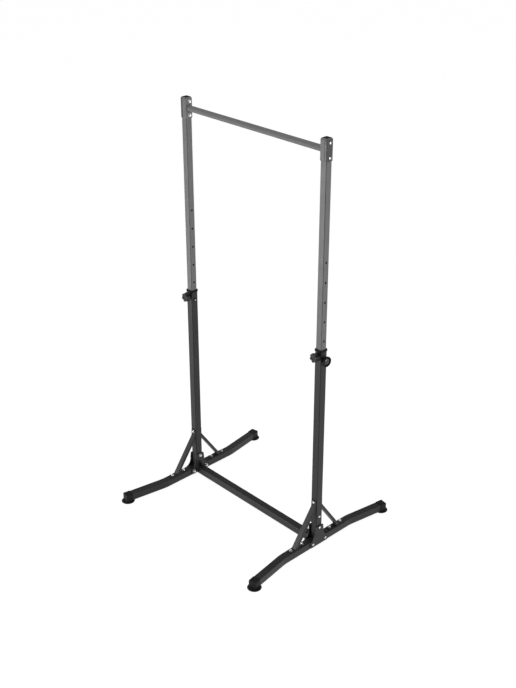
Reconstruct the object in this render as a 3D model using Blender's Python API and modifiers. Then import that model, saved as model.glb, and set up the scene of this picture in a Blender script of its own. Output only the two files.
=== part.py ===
"""Freestanding pull-up bar with telescoping posts.

Two bent legs lie on the floor, joined by a cross beam. A square post stands on each leg between two
plates, stiffened by a brace in front and one behind. The upper posts slide in the lower ones, and
a locking pin and a tightening knob hold each of them. The bar is bolted between the two upper posts.

The bar runs along X, the legs along Y, and Z is up. The origin is on the floor, midway between the
posts. Sizes are in metres.
"""

import math

import bmesh
import bpy
from mathutils import Matrix, Vector

# Overall layout
POST_SPACING = 0.938
BAR_HEIGHT = 2.111
SEAT_GAP = 0.0003
HOLE_GAP = 0.0005

# Square tubes, and the oblong ones of the braces
LOWER_TUBE = 0.040
LOWER_WALL = 0.002
UPPER_WALL = 0.002
TELESCOPE_GAP = 0.0005
BRACE_WIDTH = 0.030
BRACE_DEPTH = 0.015
BRACE_WALL = 0.0015
TUBE_CORNER = 0.003
BRACE_CORNER = 0.0025
CORNER_STEPS = 1

# Legs: straight in the middle, with both ends bent outwards in plan
LEG_UNDERSIDE = 0.006
LEG_BEND_AT = 0.243
LEG_BEND_ANGLE = math.radians(9.1)
LEG_BEND_RADIUS = 0.25
LEG_BEND_STEPS = 3
LEG_END_RUN = 0.246
CAP_WALL = 0.0017
CAP_LENGTH = 0.036
CAP_END = 0.003
CAP_CORNER = 0.003
FOOT_INSET = 0.015
FOOT_RADIUS = 0.0365
FOOT_BASE_RADIUS = 0.033
FOOT_TOP_RADIUS = 0.034
FOOT_FLARE_HEIGHT = 0.0015
FOOT_STUD_RADIUS = 0.006
FOOT_STUD_TOP = 0.016

# Posts
LOWER_POST_TOP = 1.1365
UPPER_POST_BELOW_PIN = 0.250
UPPER_POST_ABOVE_BRACKET = 0.001
COLLAR_OVERHANG = 0.0025
COLLAR_SKIRT = 0.007
COLLAR_LID = 0.004
COLLAR_SLIDE_GAP = 0.0004
PLUG_LID = 0.0027
PLUG_SPIGOT = 0.012

# Height holes and locking pins
PIN_BELOW_TOP = 0.0515
PIN_RADIUS = 0.005
HOLE_PITCH = 0.100
HOLES_ABOVE_PIN = 5
HOLES_BELOW_PIN = 1
PIN_TIP_OUT = 0.006
PIN_KNOB_RADIUS = 0.026
PIN_NECK_LENGTH = 0.011
PIN_KNOB_DEPTH = 0.014
PIN_NECK_RADIUS = 0.010
PIN_BACK_INSET = 0.0025
PIN_EDGE_RISE = 0.0055
PIN_RIM_INSET = 0.002
PIN_DISH_INSET = 0.0105
PIN_DISH_DEPTH = 0.0025
PIN_CHAMFER = 0.0015

# Tightening knobs
KNOB_BELOW_TOP = 0.030
KNOB_RADIUS = 0.0235
KNOB_LOBES = 6
KNOB_LOBE_DEPTH = 0.0045
KNOB_TURN = math.radians(22)
KNOB_DEPTH = 0.022
KNOB_HUB_LENGTH = 0.0047
KNOB_HUB_RADIUS = 0.010
KNOB_STEM_RADIUS = 0.005
KNOB_NUT_RADIUS = 0.009
KNOB_NUT_DEPTH = 0.006
KNOB_EDGE = 0.002
KNOB_NUT_CLEARANCE = 0.001

# Pull-up bar and the brackets that hold it
BAR_RADIUS = 0.015
BAR_WALL = 0.0025
BRACKET_WALL = 0.0025
BRACKET_HEIGHT = 0.100
BRACKET_INNER_REACH = 0.0255
BRACKET_SLIT = 0.0041
BRACKET_CORNER = 0.003
BAR_BOLT_INSET = 0.016
VENT_RADIUS = 0.004

# Base plates, with the cross beam between them
PLATE_WALL = 0.004
PLATE_TOP = 0.126
PLATE_TOP_HALF = 0.028
PLATE_NECK_HALF = 0.031
PLATE_NECK_BELOW_TOP = 0.034
PLATE_FOOT_HALF = 0.063
PLATE_SHOULDER_DROP = 0.002
PLATE_FOOT_RISE = 0.004
PLATE_CORNER = 0.008
PLATE_TOP_CORNER = 0.007
FLARE_STEPS = 5
RIB_HEIGHT = 0.036
RIB_LENGTH = 0.042
RIB_WALL = 0.004
POST_BOLT_INSET = 0.011
LEG_BOLT_ABOVE_CENTRE = 0.004
LEG_BOLT_HALF_SPACING = 0.045

# Braces
BRACE_TOP_HEIGHT = 0.240
BRACE_FOOT_REACH = 0.154
BRACE_PLATE_WALL = 0.003
BRACE_PLATE_MARGIN = 0.001
BRACE_TAB_BELOW = 0.018
BRACE_TAB_ABOVE = 0.044
BRACE_BOLT_ABOVE = 0.030
FOOT_PLATE_BEFORE = 0.062
FOOT_PLATE_BEYOND = 0.042
FOOT_BOLT_BEFORE = 0.050
FOOT_BOLT_BEYOND = 0.030
STOP_SCREW_HEIGHT = 0.181
STOP_SCREW_REACH = 0.004

# M8 fasteners
BOLT_RADIUS = 0.004
BOLT_HEAD_RADIUS = 0.008
BOLT_HEAD_HEIGHT = 0.004
BOLT_CROWN_RADIUS = 0.0056
BOLT_CROWN_DROP = 0.001
NUT_ACROSS_FLATS = 0.013
NUT_HEIGHT = 0.0065
WASHER_RADIUS = 0.0085
WASHER_HEIGHT = 0.0016
THREAD_BEYOND_NUT = 0.003

# Facets round each kind of round piece
BAR_SIDES = 24
FOOT_SIDES = 24
KNOB_SIDES = 20
BOLT_SIDES = 10
STAR_POINTS = 36
SMOOTH_ANGLE = math.radians(40)
MERGE_DISTANCE = 0.00001

# Heights and half sizes that follow from the sizes above
UPPER_TUBE = LOWER_TUBE - 2 * (LOWER_WALL + TELESCOPE_GAP)
LEG_TOP = LEG_UNDERSIDE + LOWER_TUBE
LEG_CENTRE = LEG_UNDERSIDE + LOWER_TUBE / 2
LEG_BOLT_HEIGHT = LEG_CENTRE + LEG_BOLT_ABOVE_CENTRE
FOOT_RUN = LEG_END_RUN - FOOT_INSET
POST_FOOT = LEG_TOP + SEAT_GAP
POST_BOLT_HEIGHT = PLATE_TOP - POST_BOLT_INSET
POST_HALF = LOWER_TUBE / 2
UPPER_HALF = UPPER_TUBE / 2
PIN_HEIGHT = LOWER_POST_TOP - PIN_BELOW_TOP
KNOB_HEIGHT = LOWER_POST_TOP - KNOB_BELOW_TOP
UPPER_POST_FOOT = PIN_HEIGHT - UPPER_POST_BELOW_PIN
UPPER_POST_TOP = BAR_HEIGHT + BRACKET_HEIGHT / 2 + UPPER_POST_ABOVE_BRACKET
BAR_BOLT_OFFSET = BRACKET_HEIGHT / 2 - BAR_BOLT_INSET
PLATE_FACE = POST_HALF + SEAT_GAP + PLATE_WALL
BRACKET_FACE = UPPER_HALF + SEAT_GAP + BRACKET_WALL
BRACKET_OUTER_REACH = 2 * BRACKET_FACE - BRACKET_INNER_REACH - BRACKET_SLIT
BRACE_BOLT_HEIGHT = BRACE_TOP_HEIGHT + BRACE_BOLT_ABOVE
FOOT_BOLTS = {"near": BRACE_FOOT_REACH - FOOT_BOLT_BEFORE, "far": BRACE_FOOT_REACH + FOOT_BOLT_BEYOND}
SIDES = {"left": -1, "right": 1}
ENDS = {"front": -1, "back": 1}


def clear_scene():
    for item in list(bpy.data.objects):
        bpy.data.objects.remove(item, do_unlink=True)


def new_collection(name):
    group = bpy.data.collections.new(name)
    bpy.context.scene.collection.children.link(group)
    return group


def new_material(name, colour, roughness, metallic):
    material = bpy.data.materials.new(name)
    material.use_nodes = True
    shader = material.node_tree.nodes["Principled BSDF"]
    shader.inputs["Base Color"].default_value = (*colour, 1)
    shader.inputs["Roughness"].default_value = roughness
    shader.inputs["Metallic"].default_value = metallic
    return material


clear_scene()
PIECES = new_collection("freestanding_pull_up_bar")
CUTTERS = new_collection("cutters")
BLACK = new_material("black_powder_coat", (0.035, 0.035, 0.037), 0.5, 0.0)
GREY = new_material("grey_powder_coat", (0.19, 0.19, 0.195), 0.45, 0.0)
DARK_GREY = new_material("dark_grey_powder_coat", (0.09, 0.09, 0.092), 0.45, 0.0)
PLASTIC = new_material("black_plastic", (0.012, 0.012, 0.013), 0.4, 0.0)
RUBBER = new_material("black_rubber", (0.015, 0.015, 0.015), 0.8, 0.0)
ZINC = new_material("zinc_plate", (0.75, 0.76, 0.78), 0.25, 1.0)


def add_object(name, mesh, place=Matrix(), group=None):
    piece = bpy.data.objects.new(name, mesh)
    piece.matrix_world = place
    (group or PIECES).objects.link(piece)
    return piece


def mesh_from(name, bm):
    mesh = bpy.data.meshes.new(name)
    bm.to_mesh(mesh)
    bm.free()
    return mesh


def cutter(name, mesh, place=Matrix()):
    tool = add_object(name, mesh, place, CUTTERS)
    tool.hide_render = True
    tool.display_type = "WIRE"
    return tool


def combine(piece, tool, operation):
    step = piece.modifiers.new(f"{operation.lower()}_{tool.name}", "BOOLEAN")
    step.operation = operation
    step.object = tool


def bake(piece):
    """Gives the piece its evaluated mesh, and clears its modifiers."""
    bpy.context.view_layer.update()
    graph = bpy.context.evaluated_depsgraph_get()
    mesh = bpy.data.meshes.new_from_object(piece.evaluated_get(graph))
    piece.modifiers.clear()
    piece.data = mesh


def dress(piece, material, smooth=False):
    piece.data.materials.clear()
    piece.data.materials.append(material)
    if smooth:
        piece.data.shade_smooth()
        piece.data.set_sharp_from_angle(angle=SMOOTH_ANGLE)


def block_mesh(name, size, centre=(0, 0, 0), round_axis=None, radius=0.0):
    """A box, with the four edges along one axis rounded if round_axis is 0, 1 or 2."""
    bm = bmesh.new()
    bmesh.ops.create_cube(bm, size=1, matrix=Matrix.Translation(centre) @ Matrix.Diagonal((*size, 1)))
    if round_axis is not None:
        spans = {edge: abs((edge.verts[0].co - edge.verts[1].co)[round_axis]) for edge in bm.edges}
        along = [edge for edge, span in spans.items() if span > size[round_axis] / 2]
        bmesh.ops.bevel(bm, geom=along, offset=radius, segments=CORNER_STEPS, profile=0.5, affect="EDGES")
    return mesh_from(name, bm)


def inset_corner(corner, depth):
    """The corner size of a rounded square whose every face lies at a depth inside another's."""
    return corner - depth * (1 - math.tan(math.pi / (8 * CORNER_STEPS)))


def rod_mesh(name, radius, start, end, axis, sides):
    """A round bar along one axis, from start to end, centred on the other two."""
    bm = bmesh.new()
    length = end - start
    bmesh.ops.create_cone(bm, cap_ends=True, segments=sides, radius1=radius, radius2=radius, depth=length)
    bmesh.ops.translate(bm, verts=bm.verts, vec=(0, 0, (start + end) / 2))
    bmesh.ops.transform(bm, matrix=axis_turn(axis), verts=bm.verts)
    return mesh_from(name, bm)


def axis_turn(axis):
    return Vector((0, 0, 1)).rotation_difference(Vector(axis)).to_matrix().to_4x4()


def turned_mesh(name, profile, sides):
    """A turned piece about Z, from (radius, height) points that run up its outer side."""
    mesh = bpy.data.meshes.new(name)
    points = [(radius, 0, height) for radius, height in profile]
    mesh.from_pydata(points[::-1], [(i, i + 1) for i in range(len(points) - 1)], [])
    shape = add_object(name + "_profile", mesh)
    screw = shape.modifiers.new("turn", "SCREW")
    screw.steps = sides
    screw.render_steps = sides
    screw.use_merge_vertices = True
    screw.merge_threshold = MERGE_DISTANCE
    bake(shape)
    turned = shape.data
    bpy.data.objects.remove(shape)
    return turned


def outline_mesh(name, points, thickness):
    """A flat outline in XY, filled and given its thickness along Z."""
    curve = bpy.data.curves.new(name, "CURVE")
    curve.dimensions = "2D"
    curve.fill_mode = "BOTH"
    curve.extrude = thickness / 2
    spline = curve.splines.new("POLY")
    spline.points.add(len(points) - 1)
    for point, (x, y) in zip(spline.points, points):
        point.co = (x, y, 0, 1)
    spline.use_cyclic_u = True
    shape = add_object(name + "_outline", curve)
    bpy.context.view_layer.update()
    graph = bpy.context.evaluated_depsgraph_get()
    mesh = bpy.data.meshes.new_from_object(shape.evaluated_get(graph))
    bpy.data.objects.remove(shape)
    bm = bmesh.new()
    bm.from_mesh(mesh)
    bmesh.ops.remove_doubles(bm, verts=bm.verts, dist=MERGE_DISTANCE)
    bmesh.ops.recalc_face_normals(bm, faces=bm.faces)
    bm.to_mesh(mesh)
    bm.free()
    return mesh


def arc(centre, radius, start, end, steps):
    """Points of an arc in degrees, with both ends."""
    turns = [math.radians(start + (end - start) * i / steps) for i in range(steps + 1)]
    return [(centre[0] + radius * math.cos(t), centre[1] + radius * math.sin(t)) for t in turns]


def section_ring(bm, width, depth, corner):
    """The edges of an oblong section with rounded corners, in the XZ plane."""
    bmesh.ops.create_grid(bm, x_segments=1, y_segments=1, size=0.5)
    bmesh.ops.scale(bm, verts=bm.verts, vec=(width, depth, 1))
    bmesh.ops.bevel(
        bm, geom=bm.verts[:], offset=corner, segments=CORNER_STEPS, profile=0.5, affect="VERTICES"
    )
    bmesh.ops.delete(bm, geom=bm.faces[:], context="FACES_ONLY")
    bmesh.ops.rotate(bm, verts=bm.verts, matrix=Matrix.Rotation(math.radians(90), 3, "X"))
    return bm.edges[:]


def straight_tube(name, width, depth, wall, corner, length, place, material):
    """A straight tube along +Y of the given place, with its width along X."""
    bm = bmesh.new()
    ring = section_ring(bm, width, depth, corner)
    grown = bmesh.ops.extrude_edge_only(bm, edges=ring)["geom"]
    moved = [v for v in grown if isinstance(v, bmesh.types.BMVert)]
    bmesh.ops.translate(bm, verts=moved, vec=(0, length, 0))
    return wall_up(name, bm, wall, place, material)


def square_tube(name, side, wall, length, place, material):
    return straight_tube(name, side, side, wall, TUBE_CORNER, length, place, material)


def wall_up(name, bm, wall, place, material):
    """Gives an open tube surface a wall, on its inner side."""
    bmesh.ops.recalc_face_normals(bm, faces=bm.faces)
    centre = sum((v.co for v in bm.verts), Vector()) / len(bm.verts)
    face = max(bm.faces, key=lambda f: f.calc_center_median().z)
    if face.normal.z * (face.calc_center_median().z - centre.z) < 0:
        bmesh.ops.reverse_faces(bm, faces=bm.faces)
    piece = add_object(name, mesh_from(name, bm), place)
    shell = piece.modifiers.new("wall", "SOLIDIFY")
    shell.thickness = wall
    shell.offset = -1
    shell.use_even_offset = True
    bake(piece)
    dress(piece, material)
    return piece


def drill(piece, name, rod_radius, start, end, axis, centre):
    """Cuts a hole whose flats clear a rod, along an axis and at a centre in world space."""
    corner = (rod_radius + HOLE_GAP) / math.cos(math.pi / BOLT_SIDES)
    tool = cutter(f"{piece.name}_{name}", rod_mesh(name, corner, start, end, axis, BOLT_SIDES))
    tool.location = centre
    combine(piece, tool, "DIFFERENCE")
    return tool


def upright(x, z):
    """Places a tube made along +Y so that it rises along +Z."""
    return Matrix.Translation((x, 0, z)) @ Matrix.Rotation(math.radians(90), 4, "X")


def lower_post(side, sign):
    x = sign * POST_SPACING / 2
    length = LOWER_POST_TOP - POST_FOOT
    name = f"lower_post_{side}"
    post = square_tube(name, LOWER_TUBE, LOWER_WALL, length, upright(x, POST_FOOT), BLACK)
    reach = LOWER_TUBE
    outer = (POST_HALF - 2 * LOWER_WALL, reach)
    start, end = outer if sign > 0 else (-reach, -outer[0])
    drill(post, "pin_hole", PIN_RADIUS, -reach, reach, (1, 0, 0), (x, 0, PIN_HEIGHT))
    drill(post, "plate_hole", BOLT_RADIUS, -reach, reach, (1, 0, 0), (x, 0, POST_BOLT_HEIGHT))
    drill(post, "stop_hole", BOLT_RADIUS, start, end, (1, 0, 0), (x, 0, STOP_SCREW_HEIGHT))
    drill(post, "brace_hole", BOLT_RADIUS, -reach, reach, (0, 1, 0), (x, 0, BRACE_BOLT_HEIGHT))
    drill(post, "knob_hole", KNOB_STEM_RADIUS, -reach, 0, (0, 1, 0), (x, 0, KNOB_HEIGHT))
    return post


def upper_post(side, sign):
    x = sign * POST_SPACING / 2
    length = UPPER_POST_TOP - UPPER_POST_FOOT
    name = f"upper_post_{side}"
    place = upright(x, UPPER_POST_FOOT)
    post = square_tube(name, UPPER_TUBE, UPPER_WALL, length, place, GREY)
    lowest = PIN_HEIGHT - HOLES_BELOW_PIN * HOLE_PITCH
    row = drill(post, "height_holes", PIN_RADIUS, -UPPER_TUBE, UPPER_TUBE, (1, 0, 0), (x, 0, lowest))
    repeat = row.modifiers.new("row", "ARRAY")
    repeat.count = HOLES_BELOW_PIN + 1 + HOLES_ABOVE_PIN
    repeat.use_relative_offset = False
    repeat.use_constant_offset = True
    repeat.constant_offset_displace = (0, 0, HOLE_PITCH)
    for level in (-1, 1):
        height = BAR_HEIGHT + level * BAR_BOLT_OFFSET
        drill(post, f"bar_hole_{level}", BOLT_RADIUS, -UPPER_TUBE, UPPER_TUBE, (1, 0, 0), (x, 0, height))
    return post


def collar(side, sign):
    """A square plastic collar that caps the lower post and guides the upper one."""
    outer = LOWER_TUBE + 2 * (SEAT_GAP + COLLAR_OVERHANG)
    low = -COLLAR_SKIRT
    high = SEAT_GAP + COLLAR_LID
    body = block_mesh("collar", (outer, outer, high - low), (0, 0, (low + high) / 2), 2, TUBE_CORNER)
    place = Matrix.Translation((sign * POST_SPACING / 2, 0, LOWER_POST_TOP))
    ring = add_object(f"collar_{side}", body, place)
    recess = LOWER_TUBE + 2 * SEAT_GAP
    tall = 4 * COLLAR_SKIRT
    recess_mesh = block_mesh("recess", (recess, recess, tall), (0, 0, SEAT_GAP - tall / 2), 2, TUBE_CORNER)
    combine(ring, cutter(f"collar_{side}_recess", recess_mesh, place), "DIFFERENCE")
    window = UPPER_TUBE + 2 * COLLAR_SLIDE_GAP
    window_mesh = block_mesh("window", (window, window, tall), (0, 0, 0), 2, TUBE_CORNER)
    combine(ring, cutter(f"collar_{side}_window", window_mesh, place), "DIFFERENCE")
    dress(ring, PLASTIC)


def top_plug(side, sign):
    lid = (UPPER_TUBE, UPPER_TUBE, PLUG_LID)
    body = block_mesh("plug", lid, (0, 0, SEAT_GAP + PLUG_LID / 2), 2, TUBE_CORNER)
    place = Matrix.Translation((sign * POST_SPACING / 2, 0, UPPER_POST_TOP))
    plug = add_object(f"top_plug_{side}", body, place)
    spigot = UPPER_TUBE - 2 * (UPPER_WALL + SEAT_GAP)
    corner = inset_corner(TUBE_CORNER, UPPER_WALL + SEAT_GAP)
    height = PLUG_SPIGOT + SEAT_GAP + PLUG_LID / 2
    middle = (0, 0, height / 2 - PLUG_SPIGOT)
    spigot_mesh = block_mesh("spigot", (spigot, spigot, height), middle, 2, corner)
    combine(plug, cutter(f"top_plug_{side}_spigot", spigot_mesh, place), "UNION")
    dress(plug, PLASTIC)


def leg_point(run):
    """A point on the centre line of the right leg's back half, from its post and at a run past its bend."""
    turn = Matrix.Rotation(-LEG_BEND_ANGLE, 3, "Z")
    return Vector((0, LEG_BEND_AT, 0)) + turn @ Vector((0, run, 0))


def leg_end_place(sign, end, run, height):
    """Places a piece on a leg's bent end, with its own +Y along the leg, pointing outwards."""
    point = leg_point(run)
    x = sign * (POST_SPACING / 2 + point.x)
    turn = math.radians(0 if end > 0 else 180) - sign * end * LEG_BEND_ANGLE
    return Matrix.Translation((x, end * point.y, height)) @ Matrix.Rotation(turn, 4, "Z")


def leg(side, sign):
    """A square tube with both ends bent outwards, made as the back half and mirrored."""
    name = f"leg_{side}"
    bm = bmesh.new()
    ring = section_ring(bm, LOWER_TUBE, LOWER_TUBE, TUBE_CORNER)
    tangent = LEG_BEND_RADIUS * math.tan(LEG_BEND_ANGLE / 2)
    straight = bmesh.ops.extrude_edge_only(bm, edges=ring)["geom"]
    moved = [v for v in straight if isinstance(v, bmesh.types.BMVert)]
    bmesh.ops.translate(bm, verts=moved, vec=(0, LEG_BEND_AT - tangent, 0))
    edges = [e for e in straight if isinstance(e, bmesh.types.BMEdge)]
    pivot = (sign * LEG_BEND_RADIUS, LEG_BEND_AT - tangent, 0)
    bent = bmesh.ops.spin(
        bm, geom=edges, cent=pivot, axis=(0, 0, 1), angle=-sign * LEG_BEND_ANGLE, steps=LEG_BEND_STEPS
    )["geom_last"]
    last_edges = [e for e in bent if isinstance(e, bmesh.types.BMEdge)]
    run = bmesh.ops.extrude_edge_only(bm, edges=last_edges)["geom"]
    moved = [v for v in run if isinstance(v, bmesh.types.BMVert)]
    past = LEG_END_RUN - tangent
    shift = (sign * past * math.sin(LEG_BEND_ANGLE), past * math.cos(LEG_BEND_ANGLE), 0)
    bmesh.ops.translate(bm, verts=moved, vec=shift)
    half = bmesh.ops.duplicate(bm, geom=bm.verts[:] + bm.edges[:] + bm.faces[:])["geom"]
    copied = [v for v in half if isinstance(v, bmesh.types.BMVert)]
    bmesh.ops.scale(bm, verts=copied, vec=(1, -1, 1))
    bmesh.ops.remove_doubles(bm, verts=bm.verts, dist=MERGE_DISTANCE)
    x = sign * POST_SPACING / 2
    tube = wall_up(name, bm, LOWER_WALL, Matrix.Translation((x, 0, LEG_CENTRE)), BLACK)
    for end_name, end in ENDS.items():
        place = (x, end * LEG_BOLT_HALF_SPACING, LEG_BOLT_HEIGHT)
        drill(tube, f"plate_hole_{end_name}", BOLT_RADIUS, -LOWER_TUBE, LOWER_TUBE, (1, 0, 0), place)
        for spot, reach in FOOT_BOLTS.items():
            place = (x, end * reach, LEG_CENTRE)
            hole = f"{spot}_hole_{end_name}"
            drill(tube, hole, BOLT_RADIUS, -LOWER_TUBE, LOWER_TUBE, (0, 0, 1), place)
        stud = leg_end_place(sign, end, FOOT_RUN, LEG_CENTRE).translation
        hole = f"stud_hole_{end_name}"
        drill(tube, hole, FOOT_STUD_RADIUS, -LOWER_TUBE, -LOWER_TUBE / 4, (0, 0, 1), stud)


def leg_cap(side, sign, end_name, end):
    """A plastic cap over the leg's end, open towards the leg."""
    name = f"leg_cap_{side}_{end_name}"
    place = leg_end_place(sign, end, LEG_END_RUN, LEG_CENTRE)
    pocket = LOWER_TUBE + 2 * SEAT_GAP
    outer = pocket + 2 * CAP_WALL
    depth = CAP_LENGTH + SEAT_GAP + CAP_END
    middle = (0, SEAT_GAP + CAP_END - depth / 2, 0)
    cap = add_object(name, block_mesh(name, (outer, depth, outer), middle, 1, CAP_CORNER), place)
    inside = (pocket, 2 * CAP_LENGTH, pocket)
    hollow = block_mesh("pocket", inside, (0, SEAT_GAP - CAP_LENGTH, 0), 1, TUBE_CORNER)
    combine(cap, cutter(f"{name}_pocket", hollow, place), "DIFFERENCE")
    stud = leg_end_place(sign, end, FOOT_RUN, LEG_CENTRE).translation
    drill(cap, "stud_hole", FOOT_STUD_RADIUS, -LOWER_TUBE, 0, (0, 0, 1), stud)
    dress(cap, PLASTIC)


def foot_profile():
    """The round foot, from the middle of its base up its side to the top of its stud."""
    top = LEG_UNDERSIDE - CAP_WALL - 2 * SEAT_GAP
    return [
        (0, 0),
        (FOOT_BASE_RADIUS, 0),
        (FOOT_RADIUS, FOOT_FLARE_HEIGHT),
        (FOOT_TOP_RADIUS, top),
        (FOOT_STUD_RADIUS, top),
        (FOOT_STUD_RADIUS, FOOT_STUD_TOP),
        (0, FOOT_STUD_TOP),
    ]


def feet():
    shape = turned_mesh("foot", foot_profile(), FOOT_SIDES)
    for side, sign in SIDES.items():
        for end_name, end in ENDS.items():
            place = leg_end_place(sign, end, FOOT_RUN, 0)
            foot = add_object(f"foot_pad_{side}_{end_name}", shape, place)
            dress(foot, RUBBER, smooth=True)


def plate_outline():
    """The base plate seen along X, as (y, height) points: narrow at its top and flared to the leg."""
    neck = PLATE_TOP - PLATE_NECK_BELOW_TOP
    drop = neck - (LEG_TOP - PLATE_SHOULDER_DROP)
    spread = PLATE_FOOT_HALF - PLATE_NECK_HALF
    corner = PLATE_FOOT_HALF - PLATE_CORNER
    top = PLATE_TOP_HALF - PLATE_TOP_CORNER
    bottom = LEG_UNDERSIDE + PLATE_FOOT_RISE
    lower = arc((corner, bottom + PLATE_CORNER), PLATE_CORNER, -90, 0, 3)
    turns = [math.radians(90 * i / FLARE_STEPS) for i in range(FLARE_STEPS + 1)]
    flare = [(PLATE_FOOT_HALF - spread * math.sin(t), neck - drop * math.cos(t)) for t in turns]
    upper = arc((top, PLATE_TOP - PLATE_TOP_CORNER), PLATE_TOP_CORNER, 0, 90, 2)
    half = lower + flare + upper
    return half + [(-y, z) for y, z in reversed(half)]


def base_plate_mesh(name):
    return outline_mesh(name, plate_outline(), PLATE_WALL)


def plate_place(x):
    """Stands an outline made in XY up in the YZ plane."""
    turn = Matrix(((0, 0, 1, 0), (1, 0, 0, 0), (0, 1, 0, 0), (0, 0, 0, 1)))
    return Matrix.Translation((x, 0, 0)) @ turn


def drill_plate(plate, name, x):
    reach = 4 * PLATE_WALL
    low = [(end * LEG_BOLT_HALF_SPACING, LEG_BOLT_HEIGHT) for end in ENDS.values()]
    spots = [(0, POST_BOLT_HEIGHT)] + low
    for number, (y, z) in enumerate(spots):
        drill(plate, f"{name}_hole_{number}", BOLT_RADIUS, -reach, reach, (1, 0, 0), (x, y, z))


def outer_plate(side, sign):
    x = sign * (POST_SPACING / 2 + PLATE_FACE - PLATE_WALL / 2)
    plate = add_object(f"outer_plate_{side}", base_plate_mesh("outer_plate"), plate_place(x))
    drill_plate(plate, "bolt", x)
    dress(plate, BLACK)


def cross_beam():
    """The beam between the legs, welded to an inner plate and a rib at each end."""
    inner = POST_SPACING / 2 - PLATE_FACE
    length = 2 * inner + PLATE_WALL
    place = Matrix.Translation((-length / 2, 0, LEG_CENTRE)) @ Matrix.Rotation(math.radians(-90), 4, "Z")
    beam = square_tube("cross_beam", LOWER_TUBE, LOWER_WALL, length, place, BLACK)
    for side, sign in SIDES.items():
        x = sign * (inner + PLATE_WALL / 2)
        plate = cutter(f"inner_plate_{side}", base_plate_mesh("inner_plate"), plate_place(x))
        combine(beam, plate, "UNION")
        sunk = PLATE_WALL / 2
        foot = LEG_TOP - sunk
        triangle = [
            (sign * (inner + sunk), foot),
            (sign * (inner - RIB_LENGTH), foot),
            (sign * (inner - RIB_LENGTH), LEG_TOP),
            (sign * inner, LEG_TOP + RIB_HEIGHT),
            (sign * (inner + sunk), LEG_TOP + RIB_HEIGHT),
        ]
        turn = Matrix.Rotation(math.radians(90), 4, "X")
        rib = cutter(f"rib_{side}", outline_mesh("rib", triangle, RIB_WALL), turn)
        combine(beam, rib, "UNION")
        drill_plate(beam, side, x)
        vent = f"vent_{side}"
        drill(beam, vent, VENT_RADIUS, -3 * PLATE_WALL, 3 * PLATE_WALL, (1, 0, 0), (x, 0, LEG_CENTRE))
    dress(beam, BLACK)


def brace(side, sign, end_name, end):
    """A slanting tube, welded to a tab on the post and to a plate on the leg."""
    name = f"brace_{side}_{end_name}"
    x = sign * POST_SPACING / 2
    post_face = POST_HALF + SEAT_GAP
    plate_top = LEG_TOP + SEAT_GAP + BRACE_PLATE_WALL
    high = Vector((0, post_face, BRACE_TOP_HEIGHT))
    low = Vector((0, BRACE_FOOT_REACH, plate_top))
    along = (low - high).normalized()
    spare = 2 * BRACE_DEPTH
    start = high - along * spare
    length = (low - high).length + 2 * spare
    turn = Vector((0, 1, 0)).rotation_difference(along).to_matrix().to_4x4()
    flip = Matrix.Rotation(math.radians(0 if end > 0 else 180), 4, "Z")
    base = Matrix.Translation((x, 0, 0)) @ flip
    place = base @ Matrix.Translation(start) @ turn
    section = (BRACE_WIDTH, BRACE_DEPTH, BRACE_WALL, BRACE_CORNER)
    tube = straight_tube(name, *section, length, place, BLACK)
    weld = BRACE_PLATE_WALL / 2
    room_size = (2 * LOWER_TUBE, 2 * BRACE_FOOT_REACH, 2 * BRACE_TOP_HEIGHT)
    room_centre = (0, post_face + weld + room_size[1] / 2, plate_top - weld + room_size[2] / 2)
    room = cutter(f"{name}_room", block_mesh("room", room_size, room_centre), base)
    combine(tube, room, "INTERSECT")
    width = BRACE_WIDTH + 2 * BRACE_PLATE_MARGIN
    tab_size = (width, BRACE_PLATE_WALL, BRACE_TAB_ABOVE + BRACE_TAB_BELOW)
    tab_height = BRACE_TOP_HEIGHT + (BRACE_TAB_ABOVE - BRACE_TAB_BELOW) / 2
    tab_centre = (0, post_face + BRACE_PLATE_WALL / 2, tab_height)
    tab = cutter(f"{name}_tab", block_mesh("tab", tab_size, tab_centre), base)
    combine(tube, tab, "UNION")
    plate_size = (width, FOOT_PLATE_BEFORE + FOOT_PLATE_BEYOND, BRACE_PLATE_WALL)
    plate_reach = BRACE_FOOT_REACH + (FOOT_PLATE_BEYOND - FOOT_PLATE_BEFORE) / 2
    plate_centre = (0, plate_reach, plate_top - BRACE_PLATE_WALL / 2)
    plate = cutter(f"{name}_plate", block_mesh("plate", plate_size, plate_centre), base)
    combine(tube, plate, "UNION")
    reach = 2 * BRACE_PLATE_WALL
    bolt_spot = base @ Vector((0, post_face + BRACE_PLATE_WALL / 2, BRACE_BOLT_HEIGHT))
    drill(tube, "tab_hole", BOLT_RADIUS, -reach, reach, (0, 1, 0), bolt_spot)
    for spot, distance in FOOT_BOLTS.items():
        place = base @ Vector((0, distance, plate_top - BRACE_PLATE_WALL / 2))
        drill(tube, f"{spot}_hole", BOLT_RADIUS, -reach, reach, (0, 0, 1), place)
    vent = base @ Vector((0, BRACE_FOOT_REACH, plate_top - BRACE_PLATE_WALL / 2))
    drill(tube, "vent", VENT_RADIUS, -reach, reach, (0, 0, 1), vent)
    dress(tube, BLACK)


def bracket_outline(reach):
    """A channel round the upper post seen from above, with its web on +X and open towards -X."""
    inside = UPPER_HALF + SEAT_GAP
    outside = BRACKET_FACE
    corner = outside - BRACKET_CORNER
    end = outside - reach
    bend = BRACKET_CORNER - BRACKET_WALL
    low = arc((corner, -corner), BRACKET_CORNER, -90, 0, 3)
    high = arc((corner, corner), BRACKET_CORNER, 0, 90, 3)
    inner_high = arc((inside - bend, inside - bend), bend, 90, 0, 2)
    inner_low = arc((inside - bend, bend - inside), bend, 0, -90, 2)
    tips = [(end, outside), (end, inside)]
    return [(end, -outside)] + low + high + tips + inner_high + inner_low + [(end, -inside)]


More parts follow.
